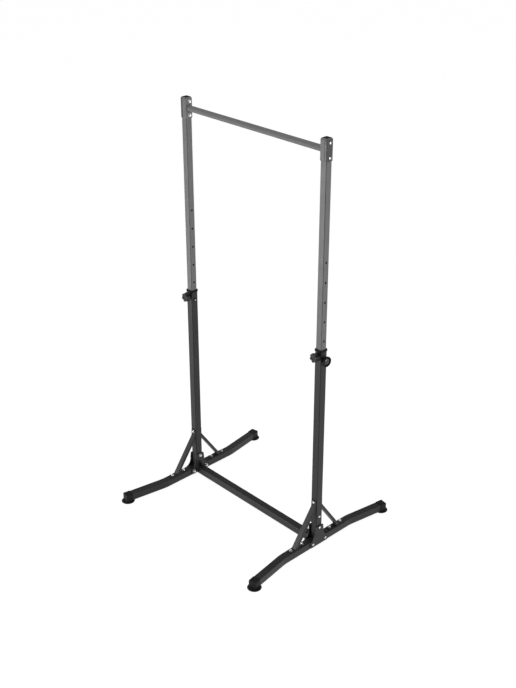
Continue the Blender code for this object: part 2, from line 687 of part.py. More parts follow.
def drill_bracket(piece, side, x):
    reach = 3 * BRACKET_WALL
    for level in (-1, 1):
        place = (x, 0, BAR_HEIGHT + level * BAR_BOLT_OFFSET)
        drill(piece, f"bolt_hole_{side}_{level}", BOLT_RADIUS, -reach, reach, (1, 0, 0), place)


def bracket_place(sign, facing):
    """Centres a bracket on a post, with its web towards the facing side."""
    turn = Matrix.Rotation(math.radians(0 if facing > 0 else 180), 4, "Z")
    return Matrix.Translation((sign * POST_SPACING / 2, 0, BAR_HEIGHT)) @ turn


def outer_bracket(side, sign):
    shape = outline_mesh("outer_bracket", bracket_outline(BRACKET_OUTER_REACH), BRACKET_HEIGHT)
    bracket = add_object(f"outer_bracket_{side}", shape, bracket_place(sign, sign))
    drill_bracket(bracket, side, sign * (POST_SPACING / 2 + BRACKET_FACE - BRACKET_WALL / 2))
    dress(bracket, DARK_GREY)


def pull_up_bar():
    """The round bar, welded at each end to a bracket that wraps its post."""
    web = POST_SPACING / 2 - BRACKET_FACE
    half = web + BRACKET_WALL / 2
    bar = add_object("pull_up_bar", rod_mesh("bar", BAR_RADIUS, -half, half, (1, 0, 0), BAR_SIDES))
    bar.location = (0, 0, BAR_HEIGHT)
    bore = rod_mesh("bore", BAR_RADIUS - BAR_WALL, -web, web, (1, 0, 0), BAR_SIDES)
    combine(bar, cutter("bar_bore", bore, Matrix.Translation((0, 0, BAR_HEIGHT))), "DIFFERENCE")
    for side, sign in SIDES.items():
        shape = outline_mesh("inner_bracket", bracket_outline(BRACKET_INNER_REACH), BRACKET_HEIGHT)
        combine(bar, cutter(f"inner_bracket_{side}", shape, bracket_place(sign, -sign)), "UNION")
        x = sign * (web + BRACKET_WALL / 2)
        drill_bracket(bar, side, x)
        reach = 3 * BRACKET_WALL
        drill(bar, f"vent_{side}", VENT_RADIUS, -reach, reach, (1, 0, 0), (x, 0, BAR_HEIGHT))
    dress(bar, GREY)


def bolt_mesh(name, grip, with_nut=True):
    """A bolt along +Z with a domed head below zero, its nut and washer just past the grip length."""
    dome = [
        (0, -BOLT_HEAD_HEIGHT),
        (BOLT_CROWN_RADIUS, BOLT_CROWN_DROP - BOLT_HEAD_HEIGHT),
        (BOLT_HEAD_RADIUS, 0),
    ]
    if with_nut:
        tail = [
            (WASHER_RADIUS, grip),
            (WASHER_RADIUS, grip + WASHER_HEIGHT),
            (BOLT_RADIUS, grip + WASHER_HEIGHT),
            (BOLT_RADIUS, grip + WASHER_HEIGHT + NUT_HEIGHT + THREAD_BEYOND_NUT),
            (0, grip + WASHER_HEIGHT + NUT_HEIGHT + THREAD_BEYOND_NUT),
        ]
    else:
        tail = [(0, grip)]
    profile = dome + [(BOLT_RADIUS, 0), (BOLT_RADIUS, grip)] + tail
    shape = add_object(name, turned_mesh(name, profile, BOLT_SIDES))
    if with_nut:
        corner = NUT_ACROSS_FLATS / math.sqrt(3)
        low = grip + WASHER_HEIGHT / 2
        high = grip + WASHER_HEIGHT + NUT_HEIGHT
        nut = cutter(f"{name}_nut", rod_mesh("nut", corner, low, high, (0, 0, 1), 6))
        combine(shape, nut, "UNION")
        bake(shape)
    mesh = shape.data
    bpy.data.objects.remove(shape)
    return mesh


def fit_bolt(name, mesh, place, direction):
    bolt = add_object(name, mesh, Matrix.Translation(place) @ axis_turn(direction))
    dress(bolt, ZINC, smooth=True)


def base_bolts():
    """Bolts through each pair of base plates, with their heads outside."""
    grip = 2 * (PLATE_FACE + SEAT_GAP)
    shape = bolt_mesh("base_bolt", grip)
    spots = {
        "post": (0, POST_BOLT_HEIGHT),
        "leg_front": (-LEG_BOLT_HALF_SPACING, LEG_BOLT_HEIGHT),
        "leg_back": (LEG_BOLT_HALF_SPACING, LEG_BOLT_HEIGHT),
    }
    for side, sign in SIDES.items():
        x = sign * (POST_SPACING / 2 + PLATE_FACE + SEAT_GAP)
        for spot, (y, z) in spots.items():
            fit_bolt(f"base_bolt_{spot}_{side}", shape, (x, y, z), (-sign, 0, 0))


def bar_bolts():
    """Bolts through each upper post and its two brackets, with their heads outside."""
    shape = bolt_mesh("bar_bolt", 2 * (BRACKET_FACE + SEAT_GAP))
    for side, sign in SIDES.items():
        x = sign * (POST_SPACING / 2 + BRACKET_FACE + SEAT_GAP)
        for level_name, level in (("lower", -1), ("upper", 1)):
            place = (x, 0, BAR_HEIGHT + level * BAR_BOLT_OFFSET)
            fit_bolt(f"bar_bolt_{level_name}_{side}", shape, place, (-sign, 0, 0))


def brace_bolts():
    """One bolt through each post and both its brace tabs, and two up through the leg at each brace foot."""
    tab_face = POST_HALF + 2 * SEAT_GAP + BRACE_PLATE_WALL
    post_shape = bolt_mesh("brace_bolt", 2 * tab_face)
    foot_grip = LOWER_TUBE + 3 * SEAT_GAP + BRACE_PLATE_WALL
    foot_shape = bolt_mesh("brace_foot_bolt", foot_grip)
    for side, sign in SIDES.items():
        x = sign * POST_SPACING / 2
        fit_bolt(f"brace_bolt_{side}", post_shape, (x, -tab_face, BRACE_BOLT_HEIGHT), (0, 1, 0))
        for end_name, end in ENDS.items():
            for spot, reach in FOOT_BOLTS.items():
                name = f"brace_foot_bolt_{side}_{end_name}_{spot}"
                fit_bolt(name, foot_shape, (x, end * reach, LEG_UNDERSIDE - SEAT_GAP), (0, 0, 1))


def stop_screws():
    """A short screw in each lower post's outer wall."""
    shape = bolt_mesh("stop_screw", SEAT_GAP + LOWER_WALL + STOP_SCREW_REACH, with_nut=False)
    for side, sign in SIDES.items():
        x = sign * (POST_SPACING / 2 + POST_HALF + SEAT_GAP)
        fit_bolt(f"stop_screw_{side}", shape, (x, 0, STOP_SCREW_HEIGHT), (-sign, 0, 0))


def pin_profile():
    """The locking pin about Z, from its tip at the bottom to the dished face of its knob at the top."""
    back = PIN_NECK_LENGTH
    face = back + PIN_KNOB_DEPTH
    tip = -(LOWER_TUBE + PIN_TIP_OUT)
    rim = PIN_KNOB_RADIUS
    return [
        (0, tip),
        (PIN_RADIUS - PIN_CHAMFER, tip),
        (PIN_RADIUS, tip + PIN_CHAMFER),
        (PIN_RADIUS, SEAT_GAP),
        (PIN_NECK_RADIUS, SEAT_GAP),
        (PIN_NECK_RADIUS, back),
        (rim - PIN_BACK_INSET, back),
        (rim, back + PIN_EDGE_RISE),
        (rim - PIN_RIM_INSET, face),
        (rim - PIN_DISH_INSET, face - PIN_DISH_DEPTH),
        (0, face - PIN_DISH_DEPTH),
    ]


def locking_pins():
    shape = turned_mesh("locking_pin", pin_profile(), KNOB_SIDES)
    for side, sign in SIDES.items():
        place = Matrix.Translation((sign * (POST_SPACING / 2 + POST_HALF), 0, PIN_HEIGHT))
        pin = add_object(f"locking_pin_{side}", shape, place @ axis_turn((sign, 0, 0)))
        dress(pin, PLASTIC, smooth=True)


def star_outline():
    """The lobed grip of a tightening knob. One lobe points outwards and a little up."""
    turns = [2 * math.pi * i / STAR_POINTS for i in range(STAR_POINTS)]
    radii = [KNOB_RADIUS - KNOB_LOBE_DEPTH * (1 - math.cos(KNOB_LOBES * t)) / 2 for t in turns]
    return [(r * math.cos(t - KNOB_TURN), r * math.sin(t - KNOB_TURN)) for r, t in zip(radii, turns)]


def tightening_knobs():
    """A lobed knob on a threaded stem, and the nut welded to the post that it turns in."""
    nut_face = -(POST_HALF + SEAT_GAP + KNOB_NUT_DEPTH)
    hub_end = nut_face - KNOB_NUT_CLEARANCE
    face = hub_end - KNOB_HUB_LENGTH - KNOB_DEPTH
    stem_tip = -(POST_HALF - LOWER_WALL)
    for side, sign in SIDES.items():
        place = Matrix.Translation((sign * POST_SPACING / 2, 0, KNOB_HEIGHT))
        name = f"tightening_knob_{side}"
        grip = outline_mesh("grip", star_outline(), KNOB_DEPTH)
        grip.transform(Matrix.Translation((0, face + KNOB_DEPTH / 2, 0)) @ axis_turn((0, 1, 0)))
        knob = add_object(name, grip, place)
        edge = knob.modifiers.new("soft_edge", "BEVEL")
        edge.width = KNOB_EDGE
        edge.segments = 1
        edge.limit_method = "ANGLE"
        edge.angle_limit = math.radians(60)
        hub = rod_mesh("hub", KNOB_HUB_RADIUS, face + KNOB_DEPTH / 2, hub_end, (0, 1, 0), KNOB_SIDES)
        combine(knob, cutter(f"{name}_hub", hub, place), "UNION")
        stem = rod_mesh("stem", KNOB_STEM_RADIUS, face + KNOB_DEPTH / 2, stem_tip, (0, 1, 0), BOLT_SIDES)
        combine(knob, cutter(f"{name}_stem", stem, place), "UNION")
        dress(knob, PLASTIC)
        boss = rod_mesh("nut", KNOB_NUT_RADIUS, nut_face, -(POST_HALF + SEAT_GAP), (0, 1, 0), KNOB_SIDES)
        nut = add_object(f"knob_nut_{side}", boss, place)
        reach = 2 * LOWER_TUBE
        drill(nut, "thread", KNOB_STEM_RADIUS, -reach, 0, (0, 1, 0), place.translation)
        dress(nut, BLACK)


def hang_on_slide():
    """Parents the pieces that rise together to one empty on the slide's axis."""
    slide = bpy.data.objects.new("height_slide", None)
    slide.location = (0, 0, PIN_HEIGHT)
    PIECES.objects.link(slide)
    bpy.context.view_layer.update()
    moving = ("upper_post", "top_plug", "outer_bracket", "bar_bolt", "pull_up_bar")
    for piece in PIECES.objects:
        if piece.name.startswith(moving):
            piece.parent = slide
            piece.matrix_parent_inverse = slide.matrix_world.inverted()


def build():
    for side, sign in SIDES.items():
        lower_post(side, sign)
        upper_post(side, sign)
        collar(side, sign)
        top_plug(side, sign)
        leg(side, sign)
        outer_plate(side, sign)
        outer_bracket(side, sign)
        for end_name, end in ENDS.items():
            leg_cap(side, sign, end_name, end)
            brace(side, sign, end_name, end)
    cross_beam()
    pull_up_bar()
    feet()
    base_bolts()
    bar_bolts()
    brace_bolts()
    stop_screws()
    locking_pins()
    tightening_knobs()
    hang_on_slide()


build()
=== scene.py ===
# %% [markdown]
# # A freestanding pull-up bar
#
# Two bent legs lie on the floor with a beam between them. A braced square post stands on each leg, and
# a thinner post slides inside it to set the height of the bar. The solid model of every part is loaded
# first. It is the frame that the detailed pieces are built around, so each of them goes where its plain
# solid is.

# %% Load the solid model
import math

import bmesh
import bpy
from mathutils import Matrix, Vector


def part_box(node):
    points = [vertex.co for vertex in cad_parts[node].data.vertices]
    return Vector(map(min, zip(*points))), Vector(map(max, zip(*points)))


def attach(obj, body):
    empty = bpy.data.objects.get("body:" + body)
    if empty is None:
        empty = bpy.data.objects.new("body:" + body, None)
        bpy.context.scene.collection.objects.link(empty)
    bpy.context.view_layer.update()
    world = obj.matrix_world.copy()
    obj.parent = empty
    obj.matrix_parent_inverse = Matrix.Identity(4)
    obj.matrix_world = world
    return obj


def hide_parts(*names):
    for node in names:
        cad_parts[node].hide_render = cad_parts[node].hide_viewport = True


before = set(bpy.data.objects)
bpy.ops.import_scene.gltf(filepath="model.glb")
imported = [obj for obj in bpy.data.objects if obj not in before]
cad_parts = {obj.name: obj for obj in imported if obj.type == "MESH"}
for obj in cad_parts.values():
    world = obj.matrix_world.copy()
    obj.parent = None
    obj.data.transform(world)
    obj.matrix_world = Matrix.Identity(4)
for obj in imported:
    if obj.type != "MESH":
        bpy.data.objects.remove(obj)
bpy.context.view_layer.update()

# %% [markdown]
# ## Camera
#
# The camera stands where the photograph was taken from: in front and to the right, well above the bar.
# A long lens keeps the two posts nearly parallel. The angles are its tilt, its roll and its turn. The
# standard view shows a colour about as it is written, so a finish can be mixed by its number.

# %% Place the camera
CAMERA_PLACE = (3.6573, -3.4267, 3.5720)
CAMERA_ANGLES = (62.7405, 0.0636, 46.5507)
FILM_WIDTH = 36
FOCAL_LENGTH = 58.3153
FARTHEST = 200

bpy.ops.object.select_all(action="DESELECT")
bpy.ops.object.camera_add(location=CAMERA_PLACE, rotation=[math.radians(a) for a in CAMERA_ANGLES])
camera = bpy.context.object
camera.data.sensor_width = FILM_WIDTH
camera.data.lens = FOCAL_LENGTH
camera.data.clip_end = FARTHEST
bpy.context.scene.camera = camera
bpy.context.scene.view_settings.view_transform = "Standard"
print("camera at", tuple(round(c, 3) for c in camera.location))


# %% [markdown]
# ## Hands for the modelling
#
# Each operator works on whatever is selected, so every step begins by clearing the selection and taking
# hold of one piece. `choose` opens a piece in edit mode and selects only the faces, edges or points that
# pass a test of their place or direction, which is what a modeller does with the mouse. A modifier is
# applied at once, so that the next step works on its result.

# %% Select and shape
def put_down():
    """Leaves edit mode and lets go of every piece."""
    if bpy.context.mode != "OBJECT":
        bpy.ops.object.mode_set(mode="OBJECT")
    bpy.ops.object.select_all(action="DESELECT")


def take(*pieces):
    put_down()
    for piece in pieces:
        piece.select_set(True)
    bpy.context.view_layer.objects.active = pieces[0]


def choose(piece, kind, test):
    take(piece)
    bpy.ops.object.mode_set(mode="EDIT")
    bpy.ops.mesh.select_mode(type=kind)
    bpy.ops.mesh.select_all(action="DESELECT")
    mesh = bmesh.from_edit_mesh(piece.data)
    parts = {"FACE": mesh.faces, "EDGE": mesh.edges, "VERT": mesh.verts}[kind]
    for part in [part for part in parts if test(part)]:
        part.select_set(True)
    mesh.select_flush_mode()
    bmesh.update_edit_mesh(piece.data)


def freeze():
    """Puts a piece's place, turn and size into its mesh."""
    bpy.ops.object.transform_apply(location=True, rotation=True, scale=True)


def modify(piece, kind, **settings):
    take(piece)
    step = piece.modifiers.new(kind.title(), kind)
    for key, value in settings.items():
        setattr(step, key, value)
    bpy.ops.object.modifier_apply(modifier=step.name)


# %% [markdown]
# ## Blocks and rods
#
# Nearly everything here starts as a cube or a cylinder at its own size and place. Long edges are then
# rounded with a bevel, faces are inset and extruded, and holes are drilled with a thinner rod. The
# outlines could be drawn as curves instead, but a block keeps its true size while it is worked on.

# %% Start a piece
FACETS, FINE_FACETS, DRILL_FACETS, HEXAGON = 48, 96, 40, 6


def block(name, low, high):
    put_down()
    low, high = Vector(low), Vector(high)
    bpy.ops.mesh.primitive_cube_add(size=1, location=(low + high) / 2, scale=high - low)
    freeze()
    piece = bpy.context.object
    piece.name = name
    return piece


def rod(name, radius, start, end, facets=FACETS):
    put_down()
    start, end = Vector(start), Vector(end)
    turn = Vector((0, 0, 1)).rotation_difference(end - start).to_euler()
    bpy.ops.mesh.primitive_cylinder_add(
        vertices=facets, radius=radius, depth=(end - start).length, location=(start + end) / 2, rotation=turn
    )
    freeze()
    piece = bpy.context.object
    piece.name = name
    return piece


# %% Find edges
CLOSE = 0.00001


def runs(edge, axis):
    """True for an edge that runs along X, Y or Z, given as 0, 1 or 2."""
    step = edge.verts[1].co - edge.verts[0].co
    return abs(step[axis]) > 0.99 * step.length


def middle(edge):
    return (edge.verts[0].co + edge.verts[1].co) / 2


def on_plane(axis, place):
    """A test for the edges that lie in a plane across X, Y or Z."""
    return lambda edge: all(abs(v.co[axis] - place) < CLOSE for v in edge.verts)


def at_level(z):
    return on_plane(2, z)


# %% Round, raise and cut
WELDED = 0.000005


def round_edges(piece, test, radius, steps):
    choose(piece, "EDGE", test)
    bpy.ops.mesh.bevel(offset=radius, segments=steps, profile=0.5, affect="EDGES")
    put_down()


def raise_faces(shift, size=1.0, about=(0, 0, 0)):
    """Extrudes the chosen faces, and then makes them wider or narrower."""
    bpy.ops.mesh.extrude_region_move(TRANSFORM_OT_translate={"value": shift})
    bpy.ops.transform.resize(value=(size, size, 1), center_override=about)


def slice_off(piece, point, outwards):
    """Cuts a piece with a plane, throws away what is beyond it and closes the cut."""
    choose(piece, "FACE", lambda f: True)
    bpy.ops.mesh.bisect(plane_co=point, plane_no=outwards, use_fill=True, clear_outer=True)
    put_down()


def face_outwards(piece):
    take(piece)
    bpy.ops.object.mode_set(mode="EDIT")
    bpy.ops.mesh.select_all(action="SELECT")
    bpy.ops.mesh.remove_doubles(threshold=WELDED)
    bpy.ops.mesh.normals_make_consistent(inside=False)
    put_down()


def join(first, *others):
    take(first, *others)
    if others:
        bpy.ops.object.join()
    return first


def cut(piece, tool, operation="DIFFERENCE"):
    modify(piece, "BOOLEAN", operation=operation, object=tool, solver="EXACT")
    bpy.data.objects.remove(tool)


def drill(piece, radius, *holes):
    """Cuts round holes. Each hole is the two ends of its line."""
    tools = [rod(f"drill_{i}", radius, start, end, DRILL_FACETS) for i, (start, end) in enumerate(holes)]
    cut(piece, join(*tools))


# %% [markdown]
# ## Copies
#
# The object is almost the same on its left and its right, and its legs are the same at the front and at
# the back. So a piece is modelled once, at the right or at the right back, and then mirrored. A mirror
# modifier would leave all the copies in one mesh, and each of them has to be a piece of its own. A
# mirrored shape is inside out, so its faces are turned to point outwards again.

# %% Mirror and place
POST_X = 0.469
SIDES = {"left": -1, "right": 1}
ENDS = {"front": -1, "back": 1}


def mirrored(piece, name, flips):
    take(piece)
    bpy.ops.object.duplicate()
    copy = bpy.context.object
    copy.name = name
    copy.scale = flips
    freeze()
    if math.prod(flips) < 0:
        face_outwards(copy)
    return copy


def both_sides(piece, stem):
    """Two pieces from the one at the right, by side."""
    piece.name = f"{stem}_right"
    return {"left": mirrored(piece, f"{stem}_left", (-1, 1, 1)), "right": piece}


def four_corners(piece, stem):
    """Four pieces from the one at the right back, by side and end, such as left_front."""
    made = {}
    for side, x in SIDES.items():
        for end, y in ENDS.items():
            made[f"{side}_{end}"] = mirrored(piece, f"{stem}_{side}_{end}", (x, y, 1))
    bpy.data.objects.remove(piece)
    return made


def placed(master, name, spot, facing):
    """A copy of a piece that was modelled along Z, set at a spot with its Z turned to face another way."""
    take(master)
    bpy.ops.object.duplicate()
    copy = bpy.context.object
    copy.name = name
    copy.location = spot
    copy.rotation_euler = Vector((0, 0, 1)).rotation_difference(Vector(facing)).to_euler()
    freeze()
    return copy


# %% [markdown]
# ## Powder coat, plastic, rubber, zinc and steel
#
# The tubes are powder coated. Baked powder never lies quite flat: it has a fine orange peel, about a
# millimetre from crest to crest, and its gloss and shade drift a little along a tube. Three noises in
# the piece's own coordinates make those three things. A picture of the paint could be wrapped round the
# tubes instead, but it would have to be unfolded onto each of them, and its seams would show.

# %% Build a finish
NOISE_LOW, NOISE_HIGH = 0.3, 0.7


def wire(tree, kind, **inputs):
    """Adds a node. Each input is a plain value, or a socket to link."""
    made = tree.nodes.new(kind)
    for name, value in inputs.items():
        socket = made.inputs[name.replace("_", " ")]
        if isinstance(value, bpy.types.NodeSocket):
            tree.links.new(value, socket)
        else:
            socket.default_value = value
    return made


def noise(tree, place, size, detail=3.0):
    """A noise whose lumps are about a given size across, in metres."""
    return wire(tree, "ShaderNodeTexNoise", Vector=place, Scale=1 / size, Detail=detail).outputs["Fac"]


def spread(tree, value, low, high):
    """Stretches a noise, which keeps near its middle, over a range."""
    span = dict(From_Min=NOISE_LOW, From_Max=NOISE_HIGH, To_Min=low, To_Max=high)
    return wire(tree, "ShaderNodeMapRange", Value=value, **span).outputs["Result"]


def finish(name, dark, light, gloss, grain, relief, metal=0.0, shine=0.5, drift=0.12):
    """A finish whose shade and roughness drift between two values, over a fine relief."""
    material = bpy.data.materials.new(name)
    material.use_nodes = True
    tree = material.node_tree
    shader = tree.nodes["Principled BSDF"]
    place = wire(tree, "ShaderNodeTexCoord").outputs["Object"]
    ramp = wire(tree, "ShaderNodeValToRGB", Fac=spread(tree, noise(tree, place, drift), 0, 1))
    ramp.color_ramp.elements[0].color = (*dark, 1)
    ramp.color_ramp.elements[1].color = (*light, 1)
    tree.links.new(ramp.outputs["Color"], shader.inputs["Base Color"])
    tree.links.new(spread(tree, noise(tree, place, drift / 3), *gloss), shader.inputs["Roughness"])
    bump = wire(tree, "ShaderNodeBump", Height=noise(tree, place, grain, detail=2.0), Distance=relief)
    tree.links.new(bump.outputs["Normal"], shader.inputs["Normal"])
    shader.inputs["Metallic"].default_value = metal
    shader.inputs["Specular IOR Level"].default_value = shine
    return material


# %% [markdown]
# Each skin below is the distance between its crests and their height, in metres. The mouldings differ in
# gloss: the collars are matt, the leg caps a little less so, the star knobs shine, and the dome in a
# pin's knob is satin. Inside the tubes there is no powder, and the dull steel there and in the bores is
# coloured near black as painted shade. The bolts are bright zinc and the pins turned steel, which are
# metals.

# %% Mix the finishes
PEEL = (0.0011, 0.00003)
MOULDED, POLISHED = (0.0005, 0.00001), (0.0005, 0.000006)
RUBBERY, ROLLED = (0.0007, 0.00002), (0.0015, 0.00002)
TURNED, PLATED = (0.0003, 0.000006), (0.0004, 0.000008)


def grey(level):
    return (level, level, level * 1.02)


BLACK_COAT = finish("black_powder_coat", grey(0.018), grey(0.022), (0.36, 0.43), *PEEL, shine=0.23)
GREY_COAT = finish("grey_powder_coat", grey(0.150), grey(0.165), (0.38, 0.45), *PEEL, shine=0.16)
# The dark grey of the outer channels is partly a darker coat and partly painted shade.
DARK_COAT_AND_SHADE = finish("dark_grey_powder_coat", grey(0.056), grey(0.066), (0.34, 0.41), *PEEL, shine=0.30)
PLASTIC = finish("black_moulding", grey(0.007), grey(0.010), (0.62, 0.72), *MOULDED, shine=0.10)
GLOSSY = finish("black_knob_moulding", grey(0.006), grey(0.009), (0.20, 0.28), *POLISHED, shine=0.34)
SATIN = finish("black_dome_moulding", grey(0.004), grey(0.006), (0.31, 0.36), *POLISHED, shine=0.50)
# The inside of the tubes and the bores are coloured near black, as painted shade.
INSIDE_SHADE = finish("tube_inside_painted_shade", grey(0.008), grey(0.016), (0.60, 0.75), *ROLLED, shine=0.05)
STEEL = finish("turned_steel", (0.42, 0.43, 0.44), (0.52, 0.53, 0.54), (0.28, 0.38), *TURNED, metal=1.0)
SHELL = finish("black_cap_moulding", grey(0.009), grey(0.012), (0.50, 0.58), *MOULDED, shine=0.12)
RUBBER = finish("black_rubber", grey(0.010), grey(0.015), (0.50, 0.62), *RUBBERY, shine=0.30)
ZINC = finish("zinc_plate", (0.72, 0.73, 0.75), (0.84, 0.85, 0.87), (0.18, 0.30), *PLATED, metal=1.0)


# %% [markdown]
# ## Handing a piece over
#
# A flat face beside a rounded edge shades badly if its corners lean with the curve. Weighted normals
# keep the big faces flat and let only the small edge faces turn. Then the piece gets its finish, rides
# on its moving body, and stands in for its plain solid.

# %% Finish a piece
SHARP_FROM = 60


def soften(piece, width, steps=2, angle=40):
    """Takes the knife edge off every edge that is sharper than an angle."""
    modify(
        piece, "BEVEL", width=width, segments=steps, limit_method="ANGLE",
        angle_limit=math.radians(angle), use_clamp_overlap=True,
    )


def hand_over(piece, material, body, solid, in_painted_shade=None):
    """Gives a piece its finish, and the faces that pass the test for the inside of a tube the near-black
    painted shade.
    """
    take(piece)
    piece.data.materials.clear()
    piece.data.materials.append(material)
    if in_painted_shade:
        piece.data.materials.append(INSIDE_SHADE)
        for face in piece.data.polygons:
            face.material_index = int(in_painted_shade(face))
    bpy.ops.object.shade_smooth_by_angle(angle=math.radians(SHARP_FROM))
    modify(piece, "WEIGHTED_NORMAL", mode="FACE_AREA", weight=100, keep_sharp=True)
    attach(piece, body)
    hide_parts(solid)
    print(f"{piece.name}: {len(piece.data.polygons)} faces, stands for {solid}")


# %% [markdown]
# ## The tubes
#
# A square tube is rolled from strip, so its corners are round outside and its wall is even. It could be
# a block with a smaller block cut out of it. Here it starts as a cube at the tube's size, its four long
# edges are bevelled, the two end faces are deleted, and Solidify gives the open skin its wall on the
# inside. That keeps the wall just as thick round the corners.

# %% Make a square tube
CORNER_STEPS = 6
TUBE_CORNER = 0.003
TUBE_WALL = 0.002
BURR = 0.0003


def open_tube(name, low, high, axis, corner=TUBE_CORNER):
    tube = block(name, low, high)
    round_edges(tube, lambda e: runs(e, axis), corner, CORNER_STEPS)
    choose(tube, "FACE", lambda f: abs(f.normal[axis]) > 0.9)
    bpy.ops.mesh.delete(type="FACE")
    put_down()
    return tube


def thicken(tube, wall):
    modify(tube, "SOLIDIFY", thickness=wall, offset=-1, use_even_offset=True)


def inside_post(corner):
    """A test for the faces that no powder reaches, inside an upright tube and in its holes, which get the
    near-black painted shade.
    """
    reach = corner.y - 0.2 * TUBE_WALL

    def in_painted_shade(face):
        aside = max(abs(abs(face.center.x) - POST_X), abs(face.center.y))
        return aside < reach and face.center.z < corner.z - TUBE_WALL

    return in_painted_shade


# %% [markdown]
# ## Lower posts
#
# Each lower post has a hole for the locking pin through both sides, one for the tightening knob in its
# front wall, and bolt holes near its foot. The holes are drilled with rods that stand for the drill, so
# they have real bores through the wall, and the bores are coloured near black as painted shade.

# %% Model the lower posts
PIN_HEIGHT = 1.085
KNOB_HEIGHT = 1.1065
POST_BOLT_HEIGHT = 0.115
STOP_SCREW_HEIGHT = 0.181
BRACE_BOLT_HEIGHT = 0.270
BOLT_HOLE = 0.0045
PIN_HOLE = 0.0055
REACH = 0.04
INSIDE = 0.01


def across(z, x=POST_X, y=0.0):
    """The line of a hole through both sides of a post or a leg."""
    return (x - REACH, y, z), (x + REACH, y, z)


low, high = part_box("lower_post_right")
post = open_tube("lower_post", low, high, 2)
thicken(post, TUBE_WALL)
brace_hole = ((POST_X, -REACH, BRACE_BOLT_HEIGHT), (POST_X, REACH, BRACE_BOLT_HEIGHT))
stop_hole = ((POST_X + INSIDE, 0, STOP_SCREW_HEIGHT), (POST_X + REACH, 0, STOP_SCREW_HEIGHT))
knob_hole = ((POST_X, -REACH, KNOB_HEIGHT), (POST_X, 0, KNOB_HEIGHT))
drill(post, BOLT_HOLE, across(POST_BOLT_HEIGHT), brace_hole, stop_hole)
drill(post, PIN_HOLE, across(PIN_HEIGHT), knob_hole)
soften(post, BURR)
for side, piece in both_sides(post, "lower_tube").items():
    hand_over(piece, BLACK_COAT, "base", f"lower_post_{side}", inside_post(high))

# %% [markdown]
# ## Upper posts
#
# The upper post has its row of height holes, 100 mm apart, drilled straight through both sides. They
# could be dark discs on the surface, but as real holes one can look through them from the side. The
# tube's bare rim shows round the plug at its top, so the tube is drawn up to just below the plug's top.

# %% Model the upper posts
HOLE_PITCH = 0.1
HOLES_BELOW, HOLES_ABOVE = 1, 5
BAR_HEIGHT = 2.111
BAR_BOLT_OFFSET = 0.034
PLUG_CROWN = 0.0005

low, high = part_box("upper_post_right")
plug_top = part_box("top_plug_right")[1].z
post = open_tube("upper_post", low, (high.x, high.y, plug_top - PLUG_CROWN), 2)
thicken(post, TUBE_WALL)
drill(post, PIN_HOLE, *[across(PIN_HEIGHT + i * HOLE_PITCH) for i in range(-HOLES_BELOW, HOLES_ABOVE + 1)])
drill(post, BOLT_HOLE, *[across(BAR_HEIGHT + level * BAR_BOLT_OFFSET) for level in (-1, 1)])
soften(post, BURR)
for side, piece in both_sides(post, "upper_tube").items():
    hand_over(piece, GREY_COAT, "upper_frame", f"upper_post_{side}", inside_post(high))

# %% [markdown]
# ## Collars
#
# A moulded collar caps the lower post and guides the upper one. Seen from above it is a square frame. A
# cube is inset on its top and on its underside, the middle faces are deleted, and the two openings are
# bridged, so that the skirt, the lid and the window are one closed skin with an even wall.

# %% Model the collars
COLLAR_CORNER = 0.005
COLLAR_TOP_ROUND = 0.0012
COLLAR_LID = 0.004
COLLAR_WINDOW = 0.0179
COLLAR_RECESS = 0.0203

low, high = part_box("collar_right")
outer = (high.x - low.x) / 2
collar = block("collar", low, high)
round_edges(collar, lambda e: runs(e, 2), COLLAR_CORNER, CORNER_STEPS)
round_edges(collar, at_level(high.z), COLLAR_TOP_ROUND, 3)
choose(collar, "FACE", lambda f: f.normal.z > 0.999)
bpy.ops.mesh.inset(thickness=outer - COLLAR_TOP_ROUND - COLLAR_WINDOW, depth=0)
bpy.ops.mesh.delete(type="FACE")
choose(collar, "FACE", lambda f: f.normal.z < -0.999)
bpy.ops.mesh.inset(thickness=outer - COLLAR_RECESS, depth=0)
raise_faces((0, 0, high.z - low.z - COLLAR_LID))
bpy.ops.mesh.inset(thickness=COLLAR_RECESS - COLLAR_WINDOW, depth=0)
bpy.ops.mesh.delete(type="FACE")
choose(collar, "EDGE", lambda e: len(e.link_faces) == 1)
bpy.ops.mesh.bridge_edge_loops()
face_outwards(collar)
soften(collar, BURR)
for side, piece in both_sides(collar, "collar_ring").items():
    hand_over(piece, PLASTIC, "base", f"collar_{side}")

# %% [markdown]
# ## Plugs
#
# The upper post is closed by a push-in plug. Its lid sits inside the tube's rim with a slight crown, and
# below it a spigot tapers towards its end so that it finds its way into the tube. The lid is a thin
# block, and the spigot is drawn down out of its underside in two steps, the second one narrower.

# %% Model the plugs
PLUG_LID = 0.0030
PLUG_HALF = 0.0153
PLUG_CORNER = 0.0012
SPIGOT_LENGTH, SPIGOT_TAPERED = 0.0120, 0.004
SPIGOT_STEP = 0.0004
SPIGOT_END = 0.93
FINE_EDGE = 0.0002

plug_low = (POST_X - PLUG_HALF, -PLUG_HALF, plug_top - PLUG_LID)
plug = block("top_plug", plug_low, (POST_X + PLUG_HALF, PLUG_HALF, plug_top))
round_edges(plug, lambda e: runs(e, 2), PLUG_CORNER, CORNER_STEPS)
round_edges(plug, at_level(plug_top), PLUG_CROWN, 3)
choose(plug, "FACE", lambda f: f.normal.z < -0.999)
bpy.ops.mesh.inset(thickness=SPIGOT_STEP, depth=0)
raise_faces((0, 0, SPIGOT_TAPERED - SPIGOT_LENGTH))
raise_faces((0, 0, -SPIGOT_TAPERED), SPIGOT_END, (POST_X, 0, plug_top))
soften(plug, FINE_EDGE)
for side, piece in both_sides(plug, "post_plug").items():
    hand_over(piece, PLASTIC, "upper_frame", f"top_plug_{side}")

# %% [markdown]
# ## Legs
#
# Each leg is one tube, bent outwards at both ends by nine degrees. A curve with a square section could
# follow the whole leg. Here the straight middle is an open tube, spin sweeps its end loop round the
# centre of the bend, as a bending machine does, and an extrude carries the loop on to the end of the leg.
# That keeps the section square all the way.

